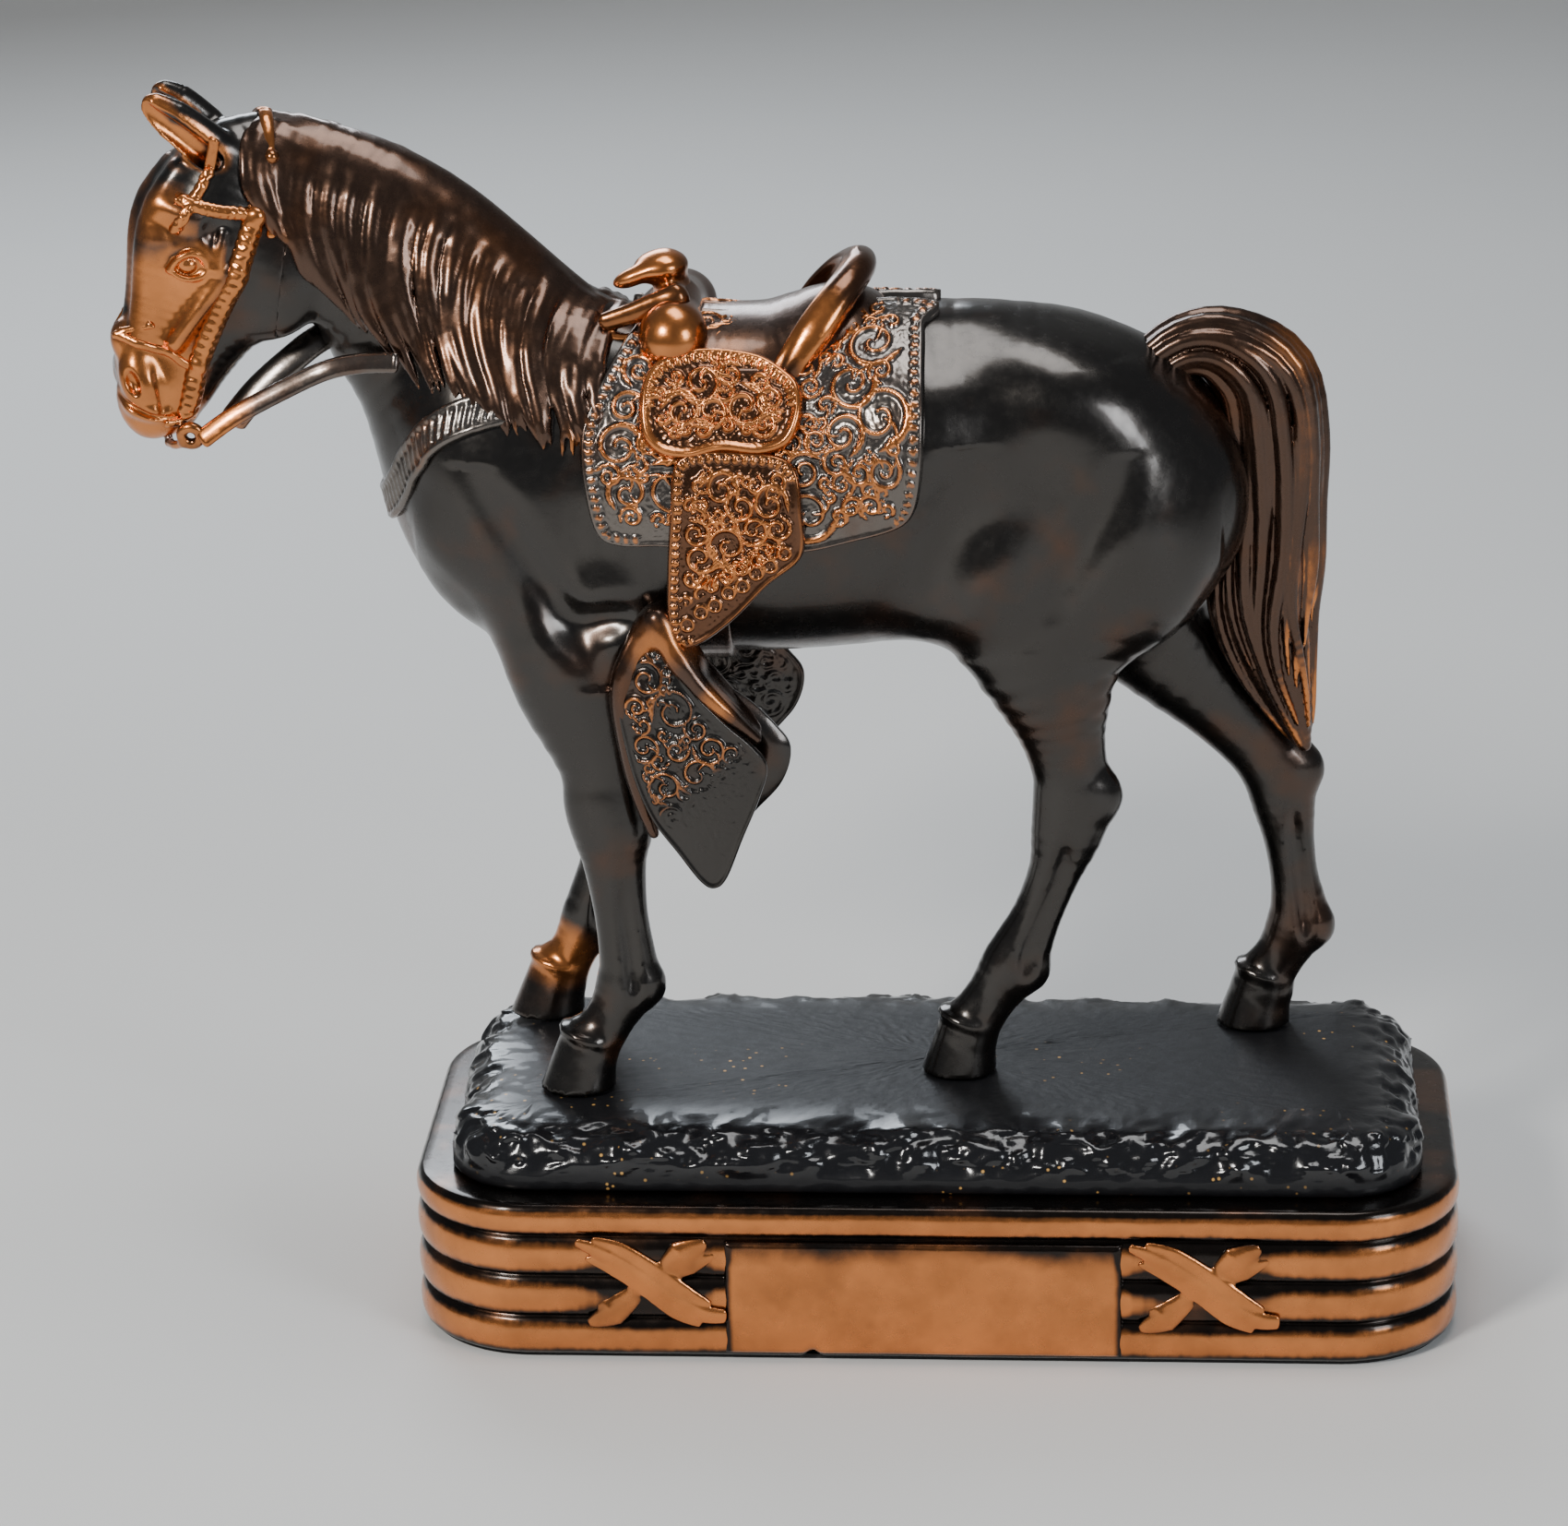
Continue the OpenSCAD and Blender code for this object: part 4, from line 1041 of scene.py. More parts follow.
def build_leathers(clay, skins, s):
    """The skirts, jockeys, fenders and tapaderos of both sides."""
    sizes = [4.4, 4.2, 3.8, 3.4, 3.2, 3.0, 2.8, 2.6, 2.4, 2.2, 2.0, 2.0, 1.8, 1.8, 1.6, 1.6, 1.5, 1.4,
             1.4, 1.3, 1.3,
             1.2, 1.2, 1.2, 1.1, 1.1, 1.0, 1.0, 1.0]
    for side, word in ((-1, "near"), (1, "far")):
        skirt = barrel_wrap(clay, [-60, -11], [1, 40.5], side)
        jockey = barrel_wrap(clay, [-52, 4], [-17, 30], side)
        fender = hanging_wrap(clay, [-47, 119], [-18, 158], side)
        deep = s.carving
        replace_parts(leather(word + "_skirt", degrees_to_mm(SKIRT), (-28, 14), skirt, -0.4,
                            s.skirt_thick + 0.4,
                            {"rim": 0.3, "rim_in": 0.7, "rim_wide": 0.5, "margin": 1.3, "beads": 0.85,
                             "carve": deep * 1.25,
                             "scrolls": [5.2, 5, 4.8, 4.6] + sizes * 2, "seed": 3,
                             "beads_where": lambda p: 1.0 * ((p[:, 0] < -48) | (p[:, 0] > -6))},
                            skins["silver"], (0.05, 0.85), 120, 520), word + "_skirt")
        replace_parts(leather(word + "_jockey", degrees_to_mm(JOCKEY), (-34, 16), jockey, s.skirt_thick - 0.2,
                            s.jockey_thick + 0.2,
                            {"rim": 0.75, "rim_in": 1.1, "rim_wide": 0.8, "margin": 1.7, "beads": 0.75,
                             "carve": deep,
                             "scrolls": [3.4, 3.2, 3.0, 2.6, 2.2, 2, 1.8, 1.6, 1.5, 1.4, 1.3, 1.2,
                                         1.1, 1, 1, 1],
                             "seed": 8, "beads_where": lambda p: 1.0 * (p[:, 1] > 16.5)},
                            skins["copper"], (0.28, 0.95)), word + "_jockey")
        stamps = [(-40.6 + k * 2.35, 126.6 + k * 1.75 + 0.5 * (k % 2)) for k in range(8)]
        stamps += [(-36.4 + k * 2.6, 133.6 + k * 1.5) for k in range(5)]
        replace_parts(leather(word + "_fender", FENDER, (-33, 142), fender, s.skirt_thick + 0.3, 1.3,
                            {"rim": 0.3, "rim_in": 0.5, "rim_wide": 0.5, "margin": 1.0, "beads": 0.72,
                             "carve": deep,
                             "scrolls": [3.2, 2.8, 2.6, 2.4, 2.2, 2, 1.8, 1.6, 1.4, 1.3, 1.2,
                                         1.1, 1, 1, 1, 1],
                             "seed": 21, "stamps": stamps,
                             "scrolls_where": lambda p: np.clip((p[:, 1] - 127
                                     - (p[:, 0] + 44) * 0.62) / 1.5, 0, 1),
                             "beads_where": lambda p: 1.0 * ((p[:, 0] < -39.5) | (p[:, 1] > 151))},
                            skins["copper"], (0.16, 0.8)), word + "_fender")
        build_tapadero(side, word, skins, s)


def build_tapadero(side, word, skins, s):
    """A hooded stirrup: two leaves joined by a folded front edge, and the hood's cap."""
    style = {"rim": 0.28, "rim_in": 0.5, "rim_wide": 0.45, "margin": 1.2, "carve": s.carving,
             "stipple": 0.06,
             "scrolls": [3.6, 3.4, 3, 3, 2.8, 2.6, 2.4, 2.4, 2.2, 2, 2, 1.8, 1.8, 1.6, 1.4, 1.2, 1.1, 1, 1,
                         1, 1], "seed": 31,
             "scrolls_where": lambda p: np.clip((p[:, 1] - 93 - (p[:, 0] + 40) * 0.9) / 7, 0.06, 1)}
    outer = leather(word + "_tapadero_leaf", LEAF, (-41, 101), leaf_wrap(side, 1), -0.5, 1.3, style,
                    skins["dark"], (0.02, 0.6), 80, 360)
    inner_outline = [[x + (3.6 if x > -46 and 92 < z < 112 else 0.8), z + 1.2] for x, z in LEAF]
    plain = {"rim": 0.2, "rim_in": 0.5, "rim_wide": 0.5, "carve": 0.3, "scrolls": [2, 2, 1.6], "seed": 4}
    inner = leather(word + "_tapadero_inner", inner_outline, (-39.5, 103), leaf_wrap(side, -1),
                    -0.5, 1.3, plain,
                    skins["dark"], (0.05, 0.4), 40, 240)
    hood = Clay([-58, -40, 72], [-22, 46, 132], 0.4)
    y = HORSE_Y + side * 22.4
    out = side
    front = smooth([[-46.2, y, 126.8], [-50, y, 119.8], [-52, y, 113], [-51, y, 103], [-49.4, y, 94.5],
                    [-47.4, y, 88]], 5)
    hood.add(rod(front, np.interp(np.linspace(0, 1, len(front)), [0, 0.3, 0.7, 1],
                                  [2.2, 2.6, 1.9, 0.9]), 1.4), 0.5)
    roof_near = smooth([[-45.8, y + out * 2.4, 127], [-42.8, y + out * 3.6, 121.4],
                        [-38.6, y + out * 4.2, 115.4],
                    [-33.4, y + out * 3.8, 110], [-29.6, y + out * 2, 105.6]], 5)
    roof_far = smooth([[-45.4, y - out * 1.6, 126.6], [-42, y - out * 2.6, 120.6],
                       [-37.6, y - out * 3.4, 115],
                       [-33, y - out * 3.4, 110], [-29.8, y - out * 2, 106.4]], 5)
    for share, size in ((0, 1.8), (0.25, 1.6), (0.5, 1.5), (0.75, 1.6), (1, 1.8)):
        line = roof_near + (roof_far - roof_near) * share
        hood.add(rod(line, size * np.interp(np.linspace(0, 1, len(line)), [0, 0.5, 1],
                                            [1.1, 0.95, 0.45])), 1.2)
    hood.lump([-45.6, y, 124.6], (3.6, 4.2, 4.6), -50, 2)
    hood.lump([-42, y, 119.5], (3.4, 4.6, 2.8), -48, 2)
    cap = cast(word + "_tapadero_hood", hood, skins["brown"],
               [([-44, y, 122], 9, 0.95), ([-36, y + out * 4, 113], 6, 0.7)], 0.18)
    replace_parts(outer, word + "_tapadero")
    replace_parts(inner, word + "_tapadero")
    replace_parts(cap, word + "_tapadero")


def cast(name, clay, material, places=(), base=0.2, worn=0.35):
    """Turns finished clay into a piece, rubbed at the given places and on its ridges."""
    points, quads = clay.skin()
    piece = make_mesh(name, points, quads, material)
    paint(piece, "rub_and_painted_light", np.clip(np.maximum(base, blobs(points, places))
                                + worn * wear(clay, points, 1.0), 0, 1))
    return piece


def across(points):
    """A path given on one side, carried over the mid-plane to the other."""
    near = [[x, HORSE_Y + y, z] for x, y, z in points]
    far = [[x, HORSE_Y - y, z] for x, y, z in reversed(points)]
    return near + far[1:]


def build_tree(skins, cell):
    """Seat, swell, horn and cantle."""
    low, high = [-62, HORSE_Y - 26, 158], [-4, HORSE_Y + 26, 190]
    seat = Clay(low, high, cell)
    dip = [[-47, 0, 165, 9.6, 13], [-42, 0, 164, 10.6, 16.4], [-35, 0, 163, 11.4, 18],
           [-27, 0, 163, 11.8, 18.2],
           [-20, 0, 164, 12.8, 17.4], [-15.4, 0, 165.4, 12.6, 14], [-13, 0, 166, 8, 9]]
    seat.add(limb(dip, 4), 1)
    welt = smooth(across([[-45, -15.6, 168.4], [-38, -16.6, 167.6], [-30, -16.8, 167.2],
                          [-23.6, -16.4, 167.4]])[:4], 5)
    seat.add(rod(welt, 0.9), 0.8)
    seat.add(rod(welt * [1, -1, 1] + [0, 2 * HORSE_Y, 0], 0.9), 0.8)
    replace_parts(cast("saddle_seat", seat, skins["brown"], [([-33, HORSE_Y - 12, 171], 8, 0.42)], 0.16),
                "saddle_seat")

    swell = Clay(low, high, cell)
    for side in (-1, 1):
        swell.lump([-43.3, HORSE_Y + side * 11.4, 171.6], (5.6, 5.4, 5.5), 0, 2.5)
        swell.add(rod([[-46.5, HORSE_Y + side * 9, 168], [-49.5, HORSE_Y + side * 12, 164.6]], [3, 1.6]), 2)
        swell.lump([-46.6, HORSE_Y + side * 12.6, 164.8], (2.2, 2.2, 2), 0, 1)
    swell.add(rod([[-43, HORSE_Y - 10, 173], [-43.4, HORSE_Y, 175.2], [-43, HORSE_Y + 10, 173]],
                  [4.6, 4.4, 4.6]), 3)
    swell.add(rod([[-46, HORSE_Y, 172], [-50, HORSE_Y, 168.6], [-53.5, HORSE_Y, 166]], [5, 4.6, 2.6], 1.6,
                  (0, 1, 0)), 2)
    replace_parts(cast("saddle_swell", swell, skins["copper"],
                     [([-43.5, HORSE_Y - 12, 172], 8, 0.95), ([-43, HORSE_Y + 10, 174], 7, 0.3)], 0.3),
                     "saddle_swell")

    horn = Clay(low, [-4, HORSE_Y + 26, 192], cell)
    stem = smooth([[-43.4, HORSE_Y, 174], [-43.8, HORSE_Y - 0.4, 178], [-45, HORSE_Y - 0.8, 181.4]], 5)
    horn.add(rod(stem, np.linspace(3.4, 2.5, len(stem)), 1.0), 1)
    horn.lump([-45.8, HORSE_Y - 1.6, 181.6], (4.7, 4.6, 2.9), 8, 1.2)
    horn.lump([-50.0, HORSE_Y - 4.2, 180.6], (3.9, 1.9, 1.6), 22, 0.8)
    horn.lump([-49.0, HORSE_Y - 6.2, 178.6], (2.4, 1.6, 1.1), 30, 0.5, dent=True)
    # the fork's gullet roll: a flat bar that leans down to the front
    bar = smooth([[-42.4, HORSE_Y - 8.6, 178.2], [-46.4, HORSE_Y - 9.2, 176.9],
                  [-50.6, HORSE_Y - 9.6, 175.4],
                  [-54.6, HORSE_Y - 9.8, 174.2]], 4)
    horn.add(rod(bar, np.linspace(2.3, 1.6, len(bar)), 0.7), 0.5)
    under = smooth([[-53.8, HORSE_Y - 9.8, 171.8], [-50.4, HORSE_Y - 9.8, 171.6],
                    [-47.4, HORSE_Y - 9.6, 172.8]], 4)
    horn.add(rod(under, 0.8), 0.6)
    horn.add(rod([[-44, HORSE_Y - 2, 176.6], [-43, HORSE_Y - 8, 177.4]], [3, 2.2]), 1.5)
    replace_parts(cast("saddle_horn", horn, skins["copper"], [([-48, HORSE_Y - 4, 181], 8, 0.95)], 0.45),
                "saddle_horn")

    back = Clay(low, [-4, HORSE_Y + 26, 192], cell)
    rim = across([[-25, -16.6, 165.4], [-22.6, -15.6, 170], [-19.2, -13.4, 175.2], [-15.4, -9.6, 179.8],
                  [-12.9, -4.6, 182.2], [-12.2, 0, 182.8]])
    rim = smooth(rim, 5)
    rim[:, 2] -= 0.9
    lift = np.interp(rim[:, 2], [165, 174, 183], [1.3, 2.2, 2.1])
    back.add(rod(rim, lift, 1.2, (0.85, 0, -0.5)), 0.6)
    back.lump([-19.6, HORSE_Y, 170], (13, 14, 2.6), 57, 2)
    ridge = rim + [-2.4, 0, 0.4]
    back.add(rod(ridge, 0.7), 0.8)
    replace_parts(cast("cantle", back, skins["copper"],
                     [([-20, HORSE_Y - 13.5, 175], 8, 0.95), ([-14, HORSE_Y - 4, 182], 6, 0.45)],
                     0.3), "cantle")


def build_straps(clay, skins, cell):
    """The cinch under the barrel and the tooled breast collar."""
    cinch = Clay([-50, HORSE_Y - 30, 105], [-28, HORSE_Y + 30, 145], cell)
    angles = np.radians(np.linspace(-200, 20, 60))
    ways = np.stack([np.zeros(60), np.cos(angles), np.sin(angles)], 1)
    for x in (-40.8, -39.6, -38.4, -37.2, -36, -34.8):
        middle = np.tile([x, HORSE_Y, GIRTH_Z], (60, 1))
        hit = clay.strike(middle + ways * 40, -ways, 40)
        cinch.add(rod(hit + ways * 0.1, 1.05, 0.8, (1, 0, 0)), 1.0)
    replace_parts(cast("cinch", cinch, skins["brown"], (), 0.18), "cinch")

    collar = Clay([-96, HORSE_Y - 25, 128], [-68, HORSE_Y + 25, 166], cell)
    path = smooth([[-71.6, 16, 160.6], [-76, 15.6, 158.6], [-80.4, 14.4, 155.6], [-84.4, 12.6, 151.6],
                   [-87.4, 10, 147], [-89.6, 5.5, 143], [-90.4, 0, 141.4]], 10)
    for side in (-1, 1):
        spots = np.stack([path[:, 0], HORSE_Y + side * path[:, 1], path[:, 2]], 1)
        ways = clay.normal(spots, 1.2)
        hit = clay.strike(spots + ways * 6, -ways, 14)
        travel = along(hit)
        sidewards = unit(np.cross(ways, travel))
        for offset in (-2.5, 2.5):
            collar.add(rod(hit + sidewards * offset + ways * 0.35, 0.75), 0.3)
        collar.add((hit + ways * 0.1, unit(np.cross(travel, ways)), ways, np.full(len(hit), 2.5),
                    np.full(len(hit), 0.7)), 0.3)
        run = np.concatenate([[0], np.cumsum(np.linalg.norm(np.diff(hit, axis=0), axis=1))])
        for at in np.arange(1, run[-1] - 0.5, 1.7):
            p = np.array([np.interp(at, run, hit[:, k]) for k in range(3)])
            j = int(np.argmin(np.abs(run - at)))
            tilt = unit(travel[j] * 0.55 + sidewards[j])
            collar.add(rod([p - tilt * 2.0 + ways[j] * 0.55, p + tilt * 2.0 + ways[j] * 0.55], 0.5), 0.2)
    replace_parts(cast("breast_collar", collar, skins["silver"], [([-82, HORSE_Y - 14, 154], 9, 0.55)],
                     0.12), "breast_collar")


# ---------------------------------------------------------------- bridle

def laid(clay, points, lift=0.3):
    """A path pressed onto the skin and raised by lift, with the outward way at each point."""
    points = np.asarray(points, float)
    ways = clay.normal(points, 1.2)
    hit = clay.strike(points + ways * 7, -ways, 18)
    return hit + ways * lift, ways


def head_path(points, side, steps=6):
    """A curve on the head, its points given for the straight head's far side."""
    return smooth([head_point(x, side * y, z) for x, y, z in points], steps)


def spaced(path, step):
    """The same path with evenly spaced points."""
    run = np.concatenate([[0], np.cumsum(np.linalg.norm(np.diff(path, axis=0), axis=1))])
    at = np.linspace(0, run[-1], max(int(run[-1] / step), 3))
    return np.stack([np.interp(at, run, path[:, k]) for k in range(3)], 1), at


def plait(target, skin, path, lift, radius, pitch):
    """Three strands woven along a path."""
    path, run = spaced(np.asarray(path), 0.45)
    spots, ways = laid(skin, path, lift)
    sidewards = unit(np.cross(ways, along(spots)))
    for k in range(3):
        phase = 2 * math.pi * (run / pitch + k / 3)
        swing = sidewards * (1.6 * radius * np.sin(phase))[:, None]
        strand = spots + swing + ways * (0.6 * radius * np.cos(2 * phase))[:, None]
        target.add(rod(strand, radius, 0.9), 0.05)


def strap(target, skin, path, lift, half_width, half_thick):
    """A flat strap pressed onto the skin."""
    path, _ = spaced(np.asarray(path), 0.8)
    spots, ways = laid(skin, path, lift)
    travel = along(spots)
    sidewards = unit(np.cross(travel, ways))
    n = len(spots)
    target.add((spots, sidewards, ways, np.full(n, half_width), np.full(n, half_thick)), 0.3)
    return spots, ways


def build_bridle(head, skins, cell):
    """The headstall with its plaited cheeks, browband, noseband, bit and reins."""
    box = ([-142, HORSE_Y - 24, 146], [-98, HORSE_Y + 16, 212])
    copper = skins["copper"]
    bright = [([-122, -8, 182], 30, 0.9)]
    crown = Clay(*box, cell)
    noseband = Clay(*box, cell)
    browband = Clay(*box, cell)
    bit = Clay(*box, cell)
    for side in (-1, 1):
        cheek = head_path([[-116.3, 6.9, 192.5], [-119, 8, 184.5], [-121.8, 8.2, 177.8], [-125.4, 8, 169],
                           [-127, 6.6, 162.5], [-127.8, 6.2, 158.2]], side)
        plait(crown, head, cheek, 0.5, 0.8, 4.6)
        upper = head_path([[-116.3, 6.9, 192.5], [-114.6, 7.4, 197.5], [-113, 6.4, 201.6],
                           [-112.4, 3.6, 204.8],
                           [-112, 0, 206]], side)
        strap(crown, head, upper, 0.25, 1.25, 0.6)
        edge = head_path([[-112.4, 6.6, 203.6], [-111.6, 7.6, 199], [-112.6, 8.2, 193],
                          [-113.2, 8.5, 190.6],
                          [-113.4, 8.5, 189]], side)
        strap(crown, head, edge, 0.15, 0.85, 0.5)
        for x, y, z, r in ((-116.3, 7.2, 192.4, 1.75), (-112.4, 6.8, 201.8, 1.25)):
            spot, _ = laid(head, [head_point(x, side * y, z)], 0.7)
            crown.lump(spot[0], (r, 1.3, r), 0, 0.5)
        band = head_path([[-116.3, 7, 192.6], [-120.4, 7.6, 193.6], [-124.6, 7, 194.4],
                          [-127.6, 5.4, 194.2]], side)
        plait(browband, head, band, 0.35, 0.52, 3.2)
        cord = head_path([[-121.4, 4.8, 199.8], [-124.2, 6, 197], [-126.8, 6.8, 194],
                          [-129, 6.4, 190.8]], side)
        plait(browband, head, cord, 0.35, 0.46, 2.6)
        nose = head_path([[-126.6, 7.4, 166.4], [-129.4, 7.2, 167.8], [-132.6, 6, 170], [-136, 3.6, 171.6],
                          [-137.6, 0, 172]], side)
        strap(noseband, head, nose, 0.1, 0.8, 0.5)
        # cheek buckle where the noseband meets the plait
        spot, _ = laid(head, [head_point(-126.2, side * 8, 167)], 0.8)
        crown.lump(spot[0], (1.5, 1.3, 1.9), 20, 0.4)
        # bit: a loop below the mouth corner, and the strap that runs forward to the lips
        c = head_point(-128.2, side * 6.4, 155.2)
        ring = [[c[0] + 1.6 * math.cos(a), c[1] + 0.5 * side * math.sin(a), c[2] + 1.6 * math.sin(a)]
                for a in np.linspace(0, 2 * math.pi, 19)]
        bit.add(rod(ring, 0.95), 0.4)
        fork = head_path([[-127.7, 6.2, 158], [-129.6, 6, 157.2], [-132, 5.4, 157.6]], side)
        strap(bit, head, fork, 0.3, 0.75, 0.6)
        low = smooth([head_point(-129.4, side * 5.6, 153.8), head_point(-130.4, side * 3, 152.9),
                      head_point(-130.8, 0, 152.6)], 5)
        bit.add(rod(low, 0.75), 0.5)
    for name, clay in (("headstall", crown), ("browband", browband), ("noseband", noseband), ("bit", bit)):
        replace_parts(cast(name, clay, copper, bright, 0.3, 0.6), name)
    near_rein = [[-122.6, -10.6, 155], [-117.4, -9.8, 158.6], [-110, -8.6, 162.4], [-102.3, -7.4, 165.8],
                 [-96, -9, 167.6], [-89.5, -12, 168.6]]
    far_rein = [[-118.6, -2, 156], [-114.6, -0.6, 160.6], [-109.5, 0.8, 165], [-103.9, 3.4, 168.9],
                [-98, 7.4, 170.4],
                [-92, 11.4, 170.6]]
    for name, path, half in (("near_rein", near_rein, 1.7), ("far_rein", far_rein, 2.6)):
        rein = Clay([-128, -18, 150], [-84, 18, 176], cell)
        line = smooth(path, 8)
        rein.add(rod(line, half, 0.45, (0.25, 0.9, -0.35)), 0.2)
        for offset in (-1.1, 1.1):
            side_way = unit(np.cross(along(line), np.array([0.25, 0.9, -0.35])))
            rein.add(rod(line + side_way * offset, 0.55), 0.3)
        points, quads = rein.skin()
        piece = make_mesh(name, points, quads, skins["silver"])
        paint(piece, "rub_and_painted_light", blobs(points, [([-122, -9, 156], 11, 0.9)]))
        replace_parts(piece, name)


# ---------------------------------------------------------------- base

def plinth_outline(count):
    """Evenly spaced places round the plinth seen from above, and their outward ways."""
    half = (PLINTH_HIGH[:2] - PLINTH_LOW[:2]) / 2
    r = PLINTH_CORNER
    flat_x, flat_y = 2 * (half[0] - r), 2 * (half[1] - r)
    bend = math.pi * r / 2
    total = 2 * flat_x + 2 * flat_y + 4 * bend
    places, ways = [], []
    for s in np.arange(count) * total / count:
        for quarter in range(4):
            run = flat_x if quarter % 2 == 0 else flat_y
            if s < run + bend:
                break
            s -= run + bend
        turn = math.radians(90 * quarter)
        c, n = math.cos(turn), math.sin(turn)
        far_x, far_y = (half[0] - r, half[1] - r) if quarter % 2 == 0 else (half[1] - r, half[0] - r)
        if s < run:
            p, w = (-far_x + s, -far_y - r), (0.0, -1.0)
        else:
            a = (s - run) / r
            p = (far_x + r * math.sin(a), -far_y - r * math.cos(a))
            w = (math.sin(a), -math.cos(a))
        places.append([p[0] * c - p[1] * n, p[0] * n + p[1] * c])
        ways.append([w[0] * c - w[1] * n, w[0] * n + w[1] * c])
    return np.array(places), np.array(ways)


PLINTH_CORNER = 21.0
REEDS = [(0.8, 7.8), (7.8, 15.4), (15.4, 22.8), (22.8, 28.5)]


def stacked(name, rings, material, rub_and_painted_light):
    """A closed piece from rings of points stacked from the bottom up."""
    count = len(rings[0])
    points = np.concatenate(rings + [rings[0].mean(0)[None], rings[-1].mean(0)[None]])
    k = np.arange(count)
    nxt = (k + 1) % count
    faces = []
    for row in range(len(rings) - 1):
        a = row * count
        faces += np.stack([a + k, a + nxt, a + count + nxt, a + count + k], 1).tolist()
    bottom, top, last = len(points) - 2, len(points) - 1, (len(rings) - 1) * count
    faces += [(bottom, int(j), int(i)) for i, j in zip(k, nxt)]
    faces += [(top, last + int(i), last + int(j)) for i, j in zip(k, nxt)]
    piece = make_mesh(name, points, faces, material)
    paint(piece, "rub_and_painted_light", np.concatenate(list(rub_and_painted_light) + [rub_and_painted_light[0][:1], rub_and_painted_light[-1][:1]]))
    return piece


LASHING_X = {"left": -48.0, "right": 46.0}
LASHING_Z = 14.6
CHIP_X = -20.5      # a chip broken from the plinth's front bottom edge


def build_plinth(skins, s):
    """The reeded plinth, with its panels and lashings."""
    count = 720
    places, ways = plinth_outline(count)
    profile = []
    for low, high in REEDS:
        for a in np.radians([8, 20, 38, 58, 76, 90, 104, 122, 142, 160, 172]):
            full = 0.5 * (1 - math.cos(a))
            depth = s.reed_groove * (1 - math.sin(a)**0.9)
            profile.append((depth, low + (high - low) * full))
    profile.append((2.6, float(PLINTH_HIGH[2])))
    profile.append((7.0, float(PLINTH_HIGH[2]) + 0.02))
    rings, rub_and_painted_light = [], []
    wave = rough(np.column_stack([places, np.zeros(count)]), 0.05, 2) * 0.18
    dents = rough(np.column_stack([places, np.full(count, 7.0)]), 0.9, 3)
    for inset, z in profile:
        ripple = rough(np.column_stack([places, np.full(count, z)]), 0.22, 3) * 0.09
        groove = np.clip(inset / s.reed_groove, 0, 1)
        chip = (1.6 * np.exp(-((places[:, 0] - CHIP_X) / 1.1)**2) * (places[:, 1] < 0)
                * math.exp(-((z - 1.0) / 1.3)**2))
        cut = inset + np.abs(ripple) + chip + np.maximum(wave, 0) * 0.3
        xy = places - ways * cut[:, None]
        rings.append(np.column_stack([xy, np.full(count, z) + wave * (0.35 if 1 < z < 28 else 0)]))
        bright = 1.06 - 1.6 * groove**0.75 + 0.12 * dents
        for centre in LASHING_X.values():
            near = ((places[:, 0] - centre) / 11.2)**4 + ((z - LASHING_Z) / 8.4)**4
            bright = bright - 0.75 * np.exp(-near) * (np.abs(places[:, 1]) > 30)
        if z > PLINTH_HIGH[2] - 1.2:
            bright = bright * 0 + 0.05
        rub_and_painted_light.append(np.clip(bright - chip, 0, 1))
    rings.insert(0, np.column_stack([places - ways * 3.0, np.full(count, float(PLINTH_LOW[2]))]))
    rub_and_painted_light.insert(0, np.zeros(count))
    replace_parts(stacked("plinth", rings, skins["plinth"], rub_and_painted_light), "plinth")
    for word, side in (("front", -1), ("back", 1)):
        build_panel(word, side, skins)
        for hand, x in LASHING_X.items():
            build_lashing(word + "_" + hand + "_lashing", x, side, skins)


